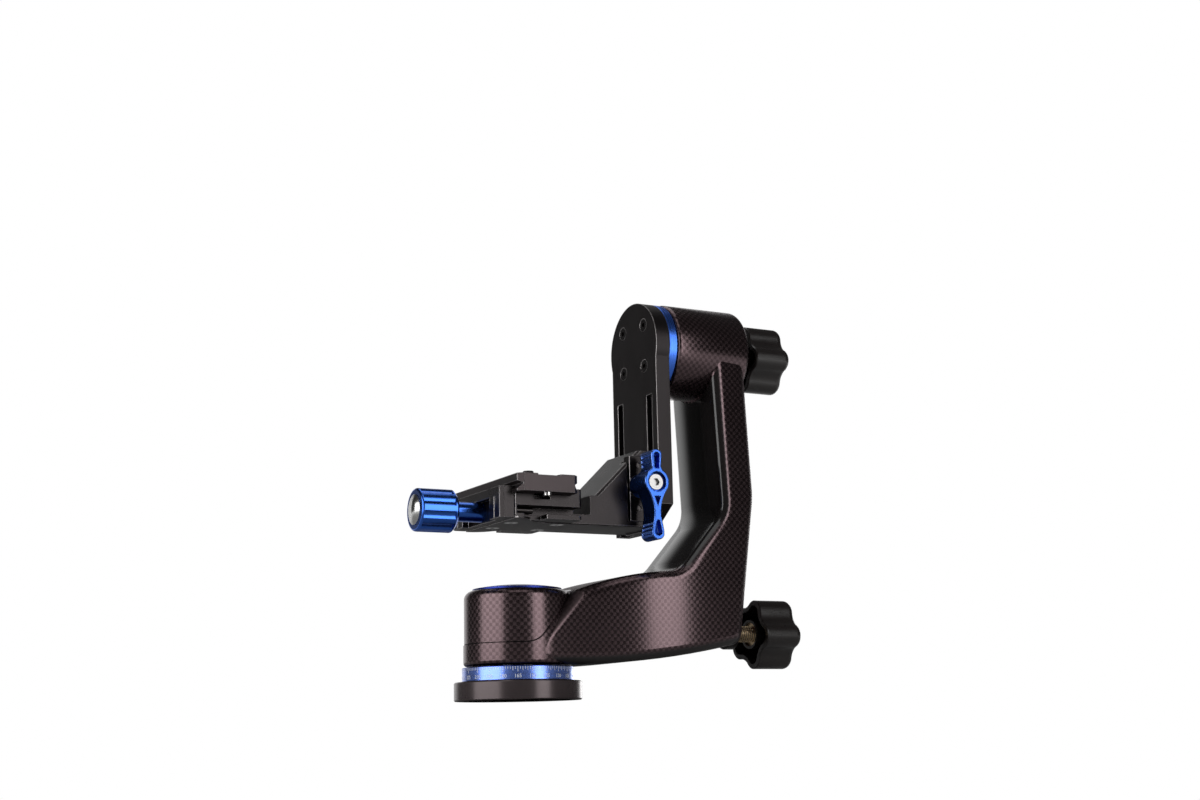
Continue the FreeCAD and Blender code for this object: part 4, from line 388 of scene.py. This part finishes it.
def crowned(x, from_axis):
    """Height of the beam's faces: the hub's roundness carried on a little, then a crown."""
    rise = (arc(CROWN_START - ROUND_START, ROUND_RADIUS)
            - arc(CROWN_START - CROWN_MIDDLE, CROWN_RADIUS))
    crown = arc(x - CROWN_MIDDLE, CROWN_RADIUS) + rise
    hub_round = arc((x - ROUND_START).at_least(0.0), ROUND_RADIUS)
    return (from_axis > HUB_EDGE) * crown.at_least(hub_round)


def carbon(colours, sizes):
    """Plain-weave carbon round the hubs and along the flats, with smooth black inner faces; the
    undersides take the same black as painted shade.
    """
    w = Wiring("carbon_weave")
    x, y, z = w.place()
    nx, ny, nz = w.facing()
    cloud = w.noise(scale=38.0, detail=3.0)

    # The two hubs, the groove round the pan hub with its painted shade, and the beam between the
    # hubs.
    high = z - middle("tilt_sleeve")[2]
    from_axis = (x * x + y * y) ** 0.5
    from_tilt = (high * high + y * y) ** 0.5
    near_hub = (from_axis < HUB_EDGE) * (abs(nz) < 0.6)
    near_tilt = ((from_tilt < TILT_HUB_EDGE) * (x > TILT_HUB_START)
                 * (from_tilt > TILT_HUB_BORE))
    groove_shade = ((from_axis < MOULD_LINE[1]) * (from_axis > MOULD_LINE[0])
              * (z < MOULD_LINE_TOP) * (abs(nz) < 0.9))
    beam = (from_axis > HUB_EDGE) * (1.0 - near_tilt)

    # The beam's faces by the way they turn, with painted shade in the crease beside the hub.
    to_left = nx * -1.0
    inner = to_left.ramp(0.25, 0.6) * x.ramp(*INNER_START)
    crease_shade = (to_left.ramp(0.10, 0.35) * beam * (1.0 - x.ramp(*CREASE_SHADE_FADE))
              * (abs(nz) < 0.8))
    outer = nx.ramp(0.2, 0.7)
    # Faces that turn down take the resin colour without weave: painted shade.
    turned_down = (nz * -1.0).ramp(0.12, 0.50)
    smooth_or_underside_shade = beam * (inner + turned_down).clamp()

    # The weave: which tow is on top, its crests and its fibres.
    period = 2 * sizes.tow
    u, v = cloth_place(period, (x, y, z), (nx, ny, nz), near_hub, near_tilt)
    across = (u * (TURN / period)).sine()
    along = (v * (TURN / period)).sine()
    over = (across * along).ramp(-0.55, 0.55)
    fibre = over.choose(
        w.noise(FIBRE_SCALE, 1.0, 0.5, w.vector(u * FIBRE_STRETCH, v, 0.0)),
        w.noise(FIBRE_SCALE, 1.0, 0.5, w.vector(u, v * FIBRE_STRETCH, 0.0)))
    crest = (abs(across) + abs(along)) * 0.5

    tint = over * 0.86 + (fibre - 0.5) * 0.30 + (cloud - 0.5) * 0.22
    base = w.blend(tint.clamp(), colours.carbon_dark, colours.carbon_light)
    # Smooth resin on the inner faces, and painted shade on the undersides.
    base = w.blend(smooth_or_underside_shade, base, colours.resin)
    # The groove round the pan hub is painted near black: painted shade.
    base = w.blend(groove_shade, base, MOULD_LINE_SHADE_TONE)
    # The crease beside the hub is darkened: painted shade.
    base = w.blend(crease_shade * 0.75, base, CREASE_SHADE_TONE)

    rough_weave = 0.20 + over * 0.09 + outer * beam * 0.25 + (groove_shade + crease_shade) * 0.3
    rough_smooth = 0.12 + turned_down * 0.30
    rough = smooth_or_underside_shade.choose(rough_smooth, rough_weave) + (cloud - 0.5) * 0.05

    bare = (1.0 - smooth_or_underside_shade) * (1.0 - outer * beam)
    relief = (crest * 0.6 + fibre * 0.10) * bare * WEAVE_DEPTH
    woven_normal = w.bump(relief + crowned(x, from_axis), 1.0)
    inner_normal = w.bump(arc(y, INNER_RADIUS), 1.0)
    return w.surface(base_color=base, metallic=0.9 - smooth_or_underside_shade * 0.9, roughness=rough,
                     normal=w.lean(inner * beam, woven_normal, inner_normal))


def satin_metal(name, tone, metallic, roughness, grain=1800.0, edge=None):
    """Blasted or brushed metal with a faint uneven tone and edges rubbed to the edge colour,
    which is wear and a painted highlight.
    """
    w = Wiring(name)
    cloud = w.noise(scale=55.0, detail=3.0)
    grit = w.noise(scale=grain)
    base = w.blend((cloud * 0.6 + grit * 0.4).clamp(), shade(tone, 0.90), shade(tone, 1.10))
    rough = roughness + (cloud - 0.5) * 0.12 + (grit - 0.5) * 0.08
    if edge is None:
        return w.surface(base_color=base, metallic=metallic, roughness=rough,
                         normal=w.bump(grit, GRIT_DEPTH, 0.6))
    below = (w.facing()[2] * -1.0).ramp(0.6, 0.95)
    soft, rubbed = w.edges(WORN_HIGHLIGHT_WIDTH)
    # Lighter edges: wear, and a painted highlight.
    base = w.blend(rubbed * (0.35 + cloud * 0.65), base, edge)
    return w.surface(base_color=base, metallic=metallic + rubbed * (1.0 - metallic),
                     roughness=rough + below * 0.32,
                     normal=w.bump(grit, GRIT_DEPTH, 0.6, Normal=soft))


def turned_metal(name, tone, roughness, axis, centre=(0.0, 0.0), metallic=1.0,
                 coat=0.0, rims=None, dome=None):
    """Lathe-turned metal: fine rings about one axis. A coat adds the gloss of sealed
    anodising, rims (low, high, tone) darken the two ends along the axis, and dome is the
    radius that the end face is rounded to."""
    w = Wiring(name)
    parts = w.place()
    along = parts["XYZ".index(axis)]
    first, second = [part for part, letter in zip(parts, "XYZ") if letter != axis]
    first, second = first - centre[0], second - centre[1]
    radius = (first * first + second * second) ** 0.5
    rings = w.noise(3600.0, 2.0, 0.5, w.vector(radius, along, 0.0))
    cloud = w.noise(scale=60.0)
    base = w.blend((rings * 0.7 + cloud * 0.3).clamp(), shade(tone, 0.84), shade(tone, 1.16))
    rim = 0.0
    if rims is not None:
        low, high, rim_tone = rims
        rim = ((along < low) + (along > high)).clamp()
        base = w.blend(rim, base, rim_tone)
    if dome is None:
        normal = w.bump(rings, LATHE_DEPTH, 0.6)
    else:
        normal = w.bump(arc(radius, dome), 1.0)
    return w.surface(base_color=base, metallic=metallic,
                     roughness=roughness + (rings - 0.5) * 0.12, normal=normal,
                     coat_weight=(1.0 - rim) * coat, coat_ior=2.1, coat_roughness=0.25)


def threaded(name, tone, height, pitch):
    """Screw thread as a helical bump about a level axis along X."""
    w = Wiring(name)
    x, y, z = w.place()
    turns = (z - height).angle(y) / TURN
    phase = (x / pitch - turns) * TURN
    ridge = phase.sine() * 0.5 + 0.5
    cloud = w.noise(scale=300.0)
    # Darker in the thread's valleys: painted shade.
    return w.surface(base_color=w.blend(ridge.clamp(), shade(tone, 0.45), tone),
                     metallic=1.0, roughness=0.28 + (cloud - 0.5) * 0.15,
                     normal=w.bump(ridge, pitch * 0.45, 0.9))


def moulded(name, tone, roughness):
    """Moulded plastic with a fine spark-eroded grain."""
    w = Wiring(name)
    grit = w.noise(scale=2600.0)
    cloud = w.noise(scale=45.0)
    base = w.blend((grit * 0.5 + cloud * 0.5).clamp(), shade(tone, 0.75), shade(tone, 1.3))
    rough = roughness + (grit - 0.5) * 0.16 + (cloud - 0.5) * 0.10
    return w.surface(base_color=base, roughness=rough, normal=w.bump(grit, MOULD_DEPTH, 0.5))


def rubber(name, tone):
    """Grip rubber with a fine ribbed face."""
    w = Wiring(name)
    rib = (w.place()[1] * (TURN / RIB_STEP)).sine() * 0.5 + 0.5
    grit = w.noise(scale=2400.0)
    # Darker in the ribs' troughs and lighter on their crests: painted shade and highlight.
    base = w.blend((rib * 0.5 + grit * 0.5).clamp(), shade(tone, 0.6), shade(tone, 1.5))
    return w.surface(base_color=base, roughness=0.72 + (grit - 0.5) * 0.2,
                     normal=w.bump(rib, RIB_DEPTH, 0.7))


def paint(name, tone):
    """Printed marking with a faint speckle."""
    w = Wiring(name)
    speck = w.noise(scale=3000.0)
    return w.surface(base_color=w.blend(speck, shade(tone, 0.9), tone),
                     roughness=0.5 + (speck - 0.5) * 0.1)


# ---- scale marks ---------------------------------------------------------------------

def mesh_piece(name, verts, faces, body, material):
    """A mesh from points and faces that rides on a body."""
    mesh = bpy.data.meshes.new(name)
    mesh.from_pydata(verts, [], faces)
    mesh.update()
    piece = bpy.data.objects.new(name, mesh)
    bpy.context.scene.collection.objects.link(piece)
    mesh.materials.append(material)
    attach(piece, body)


def wrap(radius, angle, height):
    """A point on a cylinder about Z."""
    return (radius * math.cos(angle), radius * math.sin(angle), height)


def ring_mark(angle, width, low, high, radius):
    """Corners of one upright mark on a cylinder about Z."""
    half = width / radius / 2
    return [wrap(radius, angle - half, low), wrap(radius, angle + half, low),
            wrap(radius, angle + half, high), wrap(radius, angle - half, high)]


def text_outline(text, height):
    """Flat mesh of a number: points centred on its middle, and faces."""
    curve = bpy.data.curves.new("number", "FONT")
    curve.body = text
    curve.size = height / FIGURE_HEIGHT
    curve.align_x = "CENTER"
    curve.resolution_u = 3
    holder = bpy.data.objects.new("number", curve)
    bpy.context.scene.collection.objects.link(holder)
    bpy.context.view_layer.update()
    mesh = bpy.data.meshes.new_from_object(holder)
    points = [tuple(v.co) for v in mesh.vertices]
    faces = [tuple(p.vertices) for p in mesh.polygons]
    bpy.data.objects.remove(holder)
    bpy.data.meshes.remove(mesh)
    bpy.data.curves.remove(curve)
    return points, faces


def divides(step, degrees):
    """Whether an angle is a whole number of steps."""
    return abs(degrees / step - round(degrees / step)) < 1e-6


def scale_marks(sizes):
    """Points and faces of the ticks and numbers round the scale ring."""
    low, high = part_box("scale_ring")
    radius = high[0] + PAINT
    top = high[2] - SCALE_TOP
    foot = low[2] + LABEL_FOOT
    verts, faces = [], []

    def add(points, polygons):
        start = len(verts)
        verts.extend(points)
        faces.extend(tuple(start + i for i in polygon) for polygon in polygons)

    for i in range(round(TURN / sizes.tick_step)):
        degrees = math.degrees(i * sizes.tick_step)
        if divides(sizes.label_step, degrees):
            reach = LABEL_TICK_LENGTH
        elif divides(FIFTH, degrees):
            reach = FIFTH_LENGTH
        else:
            reach = TICK_LENGTH
        angle = sizes.zero_turn - i * sizes.tick_step
        add(ring_mark(angle, TICK_WIDTH, top - reach, top, radius), [(0, 1, 2, 3)])
    for degrees in range(0, 360, sizes.label_step):
        angle = sizes.zero_turn - math.radians(degrees)
        points, polygons = text_outline(str(degrees), sizes.label_height)
        add([wrap(radius, angle + p[0] / radius, foot + p[1]) for p in points], polygons)
    return verts, faces


# ---- operators ------------------------------------------------------------------------

class GIMBAL_OT_arm(bpy.types.Operator):
    """Lays the carbon weave over the arm"""
    bl_idname = "gimbal.arm"
    bl_label = "Carbon arm"

    def execute(self, context):
        colours = context.scene.gimbal_colours
        dress(carbon(colours, context.scene.gimbal_sizes), "arm")
        for name, node, on_axis in (("bush_black", "pan_lock_bush", "pan_lock_bush"),
                                    ("end_cap_black", "tilt_end_cap", "tilt_sleeve")):
            dress(turned_metal(name, colours.black, 0.34, "X", (0.0, middle(on_axis)[2]),
                               metallic=0.7), node)
        return {"FINISHED"}


class GIMBAL_OT_base(bpy.types.Operator):
    """Finishes the base flange, its scale ring and the hub cap"""
    bl_idname = "gimbal.base"
    bl_label = "Base and scale ring"

    def execute(self, context):
        colours = context.scene.gimbal_colours
        dress(turned_metal("flange_black", colours.flange, 0.24, "Z", metallic=0.6),
              "base_flange")
        low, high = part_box("scale_ring")
        rims = (low[2] + RIM_LOW, high[2] - RIM_HIGH, colours.rim_blue)
        dress(turned_metal("ring_blue", colours.blue, 0.26, "Z", coat=1.0, rims=rims),
              "scale_ring")
        dress(turned_metal("cap_blue", colours.cap_blue, 0.38, "Z"), "hub_cap")
        verts, faces = scale_marks(context.scene.gimbal_sizes)
        mesh_piece("scale_marks", verts, faces, "base",
                   paint("marking_paint", colours.marking))
        return {"FINISHED"}


class GIMBAL_OT_metal(bpy.types.Operator):
    """Finishes bearings, shafts, screws, pins and nuts"""
    bl_idname = "gimbal.metal"
    bl_label = "Inner metal and fasteners"

    def execute(self, context):
        colours = context.scene.gimbal_colours
        tilt_axis = (0.0, middle("tilt_sleeve")[2])
        dress(turned_metal("turned_steel_z", colours.steel, 0.30, "Z"),
              "thread_bush", "pan_brake_collar", "pan_bearings_inner", "pan_bearings_outer",
              "pan_nut", "pan_washer", "pan_sleeve", "pan_spindle")
        dress(turned_metal("turned_steel_x", colours.steel, 0.30, "X", tilt_axis),
              "tilt_bearings_inner", "tilt_bearings_outer", "tilt_spacer", "tilt_washer",
              "tilt_nut", "tilt_sleeve", "tilt_shaft")
        dress(satin_metal("pin_steel", colours.steel, metallic=1.0, roughness=0.28),
              "pan_push_rod")
        dress(satin_metal("pin_black", colours.pin_steel, metallic=0.9, roughness=0.30),
              "height_guide_pins", "clamp_guide_pins")
        dress(satin_metal("screw_black", shade(colours.black, 0.8), metallic=0.8,
                          roughness=0.33),
              "base_screws", "plate_screws", "clamp_screws", "lens_screw_front",
              "lens_screw_back")
        dress(satin_metal("shoe_brass", colours.brass, metallic=1.0, roughness=0.35),
              "pan_brake_shoe", "tilt_brake_pad")
        return {"FINISHED"}


class GIMBAL_OT_locks(bpy.types.Operator):
    """Finishes the pan and tilt lock knobs with their screws"""
    bl_idname = "gimbal.locks"
    bl_label = "Lock knobs"

    def execute(self, context):
        colours = context.scene.gimbal_colours
        pitch = context.scene.gimbal_sizes.thread_pitch
        dress(moulded("knob_plastic", colours.plastic, roughness=0.30), "pan_knob", "tilt_knob")
        for prefix in ("pan", "tilt"):
            height = middle(prefix + "_lock_screw")[2]
            dress(threaded(prefix + "_lock_brass", colours.brass, height, pitch),
                  prefix + "_lock_screw")
            dress(turned_metal(prefix + "_insert_brass", colours.brass, 0.30, "X",
                               (0.0, height)), prefix + "_knob_insert")
        return {"FINISHED"}


class GIMBAL_OT_swing(bpy.types.Operator):
    """Finishes the swing plate and the tilt ring"""
    bl_idname = "gimbal.swing"
    bl_label = "Swing plate"

    def execute(self, context):
        colours = context.scene.gimbal_colours
        dress(satin_metal("plate_black", colours.black, metallic=0.7, roughness=0.34,
                          edge=colours.rubbed), "swing_plate")
        dress(turned_metal("tilt_ring_blue", colours.blue, 0.28, "X",
                           (0.0, middle("tilt_ring")[2])), "tilt_ring")
        return {"FINISHED"}


class GIMBAL_OT_bracket(bpy.types.Operator):
    """Finishes the bracket, its jaw and the blue lever"""
    bl_idname = "gimbal.bracket"
    bl_label = "Bracket and lever"

    def execute(self, context):
        colours = context.scene.gimbal_colours
        dress(satin_metal("bracket_black", colours.black, metallic=0.7, roughness=0.29,
                          edge=colours.rubbed), "bracket", "height_jaw")
        dress(satin_metal("lever_blue", colours.deep_blue, metallic=1.0, roughness=0.26,
                          grain=900.0, edge=colours.rubbed_blue), "lever_knob")
        x, _, z = middle("lever_screw")
        dress(turned_metal("lever_steel", shade(colours.steel, 0.72), 0.30, "Y", (x, z)),
              "lever_screw", "lever_washer")
        return {"FINISHED"}


class GIMBAL_OT_clamp(bpy.types.Operator):
    """Finishes the quick-release clamp and its fluted knob"""
    bl_idname = "gimbal.clamp"
    bl_label = "Quick-release clamp"

    def execute(self, context):
        colours = context.scene.gimbal_colours
        dress(satin_metal("clamp_black", colours.black, metallic=0.7, roughness=0.28,
                          edge=colours.rubbed), "clamp_body", "qr_jaw")
        _, y, z = middle("qr_knob")
        dress(turned_metal("knob_blue", colours.deep_blue, 0.22, "X", (y, z)), "qr_knob")
        dress(satin_metal("screw_dark", colours.screw_steel, metallic=0.8, roughness=0.3),
              "qr_screw")
        dress(turned_metal("cap_steel", colours.knob_steel, 0.22, "X", (y, z), dome=16 * MM),
              "qr_knob_cap")
        return {"FINISHED"}


class GIMBAL_OT_lens_plate(bpy.types.Operator):
    """Finishes the lens plate with its rubber pads and stop screws"""
    bl_idname = "gimbal.lens_plate"
    bl_label = "Lens plate"

    def execute(self, context):
        colours = context.scene.gimbal_colours
        dress(satin_metal("lens_plate_black", colours.lens_plate, metallic=0.7, roughness=0.31,
                          edge=colours.rubbed), "lens_plate")
        dress(rubber("pad_rubber", colours.rubber), "rubber_pads")
        dress(satin_metal("stop_steel", colours.steel, metallic=1.0, roughness=0.25),
              "stop_screws")
        return {"FINISHED"}


class GIMBAL_OT_stage(bpy.types.Operator):
    """Sets the floor, studio lights, world and camera"""
    bl_idname = "gimbal.stage"
    bl_label = "Studio stage"

    def execute(self, context):
        scene = context.scene
        self.floor(scene)
        self.world(scene)
        self.lights(scene)
        self.camera(scene)
        scene.view_settings.view_transform = "Standard"
        return {"FINISHED"}

    def floor(self, scene):
        """White table seen from above only, so that a low camera looks past it."""
        w = Wiring("table_white")
        x, y, _ = w.place()
        away = (x * x + y * y) ** 0.5
        back = w.node("ShaderNodeNewGeometry", {}, {}, "Backfacing")
        matt = w.node("ShaderNodeBsdfDiffuse", {}, {"Color": opaque(TABLE_GREY)})
        glow = w.node("ShaderNodeEmission", {}, {
            "Color": opaque(WHITE), "Strength": 0.60 + away.ramp(0.8, 2.4) * 0.40})
        white = w.node("ShaderNodeAddShader", {}, {0: matt, 1: glow})
        # Metal and glass see the floor's white glow only from 0.25 m out, fading in to 0.9 m, so
        # the floor round the head shows darker in them: a painted shadow.
        lit = w.node("ShaderNodeMixShader", {}, {
            0: w.backdrop_share(away.ramp(0.25, 0.90)), 1: matt, 2: white})
        clear = w.node("ShaderNodeBsdfTransparent", {}, {})
        shown = w.node("ShaderNodeMixShader", {}, {0: back, 1: lit, 2: clear})
        mesh = bpy.data.meshes.new("table")
        corners = [(-1, -1), (1, -1), (1, 1), (-1, 1)]
        mesh.from_pydata([(a * TABLE_REACH, b * TABLE_REACH, 0) for a, b in corners],
                         [], [(0, 1, 2, 3)])
        mesh.materials.append(w.end("ShaderNodeOutputMaterial", shown))
        table = bpy.data.objects.new("table", mesh)
        table.location.z = -TABLE_DROP
        scene.collection.objects.link(table)

    def world(self, scene):
        """White for the camera; metal and glass show the white backdrop behind, dim in front."""
        w = Wiring("studio", world=True)
        x, y, z = w.split(w.node("ShaderNodeTexCoord", {}, {}, "Generated"))
        behind = x * BACKDROP_WAY[0] + y * BACKDROP_WAY[1]
        backdrop = behind.ramp(0.66, 0.84) * (1.0 - z.ramp(0.25, 0.58))
        seen = w.backdrop_share(backdrop)
        strength = seen + (1.0 - seen) * (ROOM_LEVEL + backdrop * BACKDROP_LEVEL)
        sky = w.node("ShaderNodeBackground", {}, {
            "Color": opaque(WHITE), "Strength": strength})
        scene.world = w.end("ShaderNodeOutputWorld", sky)

    def lights(self, scene):
        """Soft boxes: a broad one on the left, a narrower one front right, two above, and a
        rim light."""
        for name, turn, lift, away, width, height, level in LAMPS:
            lamp = bpy.data.lights.new(name, "AREA")
            lamp.shape = "RECTANGLE"
            lamp.size = width
            lamp.size_y = height
            lamp.energy = level * math.pi * width * height
            holder = bpy.data.objects.new(name, lamp)
            holder.visible_camera = False
            a, e = math.radians(turn), math.radians(lift)
            way = Vector((math.cos(a) * math.cos(e), math.sin(a) * math.cos(e), math.sin(e)))
            holder.location = LAMP_AIM + way * away
            holder.rotation_euler = (-way).to_track_quat("-Z", "Y").to_euler()
            scene.collection.objects.link(holder)

    def camera(self, scene):
        """Low camera in front and to the left, 50 mm lens."""
        level_ahead = Vector((math.sin(CAMERA_YAW), math.cos(CAMERA_YAW), 0.0))
        level_right = Vector((math.cos(CAMERA_YAW), -math.sin(CAMERA_YAW), 0.0))
        zenith = Vector((0.0, 0.0, 1.0))
        ahead = level_ahead * math.cos(CAMERA_PITCH) + zenith * math.sin(CAMERA_PITCH)
        upward = level_ahead * -math.sin(CAMERA_PITCH) + zenith * math.cos(CAMERA_PITCH)
        right = level_right * math.cos(CAMERA_ROLL) + upward * math.sin(CAMERA_ROLL)
        up = upward * math.cos(CAMERA_ROLL) - level_right * math.sin(CAMERA_ROLL)
        lens = bpy.data.cameras.new("camera")
        lens.sensor_width = SENSOR
        lens.lens = FOCAL_PIXELS / IMAGE_WIDTH * SENSOR
        lens.clip_start = 10 * MM
        holder = bpy.data.objects.new("camera", lens)
        rotation = Matrix((right, up, -ahead)).transposed().to_4x4()
        holder.matrix_world = Matrix.Translation(CAMERA_PLACE) @ rotation
        scene.collection.objects.link(holder)
        scene.camera = holder


class GIMBAL_PT_panel(bpy.types.Panel):
    """Lists the head's pieces and settings"""
    bl_label = "Gimbal head"
    bl_idname = "GIMBAL_PT_panel"
    bl_space_type = "VIEW_3D"
    bl_region_type = "UI"
    bl_category = "Gimbal"

    def draw(self, context):
        for group in (context.scene.gimbal_colours, context.scene.gimbal_sizes):
            column = self.layout.column()
            for name in group.bl_rna.properties.keys():
                if name not in ("rna_type", "name"):
                    column.prop(group, name)
        for operator in OPERATORS:
            self.layout.operator(operator.bl_idname)


OPERATORS = (GIMBAL_OT_stage, GIMBAL_OT_arm, GIMBAL_OT_base, GIMBAL_OT_metal, GIMBAL_OT_locks,
             GIMBAL_OT_swing, GIMBAL_OT_bracket, GIMBAL_OT_clamp, GIMBAL_OT_lens_plate)
CLASSES = (GIMBAL_PG_colours, GIMBAL_PG_sizes) + OPERATORS + (GIMBAL_PT_panel,)


def register():
    for item in CLASSES:
        bpy.utils.register_class(item)
    bpy.types.Scene.gimbal_colours = PointerProperty(type=GIMBAL_PG_colours)
    bpy.types.Scene.gimbal_sizes = PointerProperty(type=GIMBAL_PG_sizes)


def unregister():
    del bpy.types.Scene.gimbal_sizes
    del bpy.types.Scene.gimbal_colours
    for item in reversed(CLASSES):
        bpy.utils.unregister_class(item)


def main():
    """Runs every operator in order."""
    register()
    for operator in OPERATORS:
        group, name = operator.bl_idname.split(".")
        getattr(getattr(bpy.ops, group), name)()


if __name__ == "__main__":
    main()
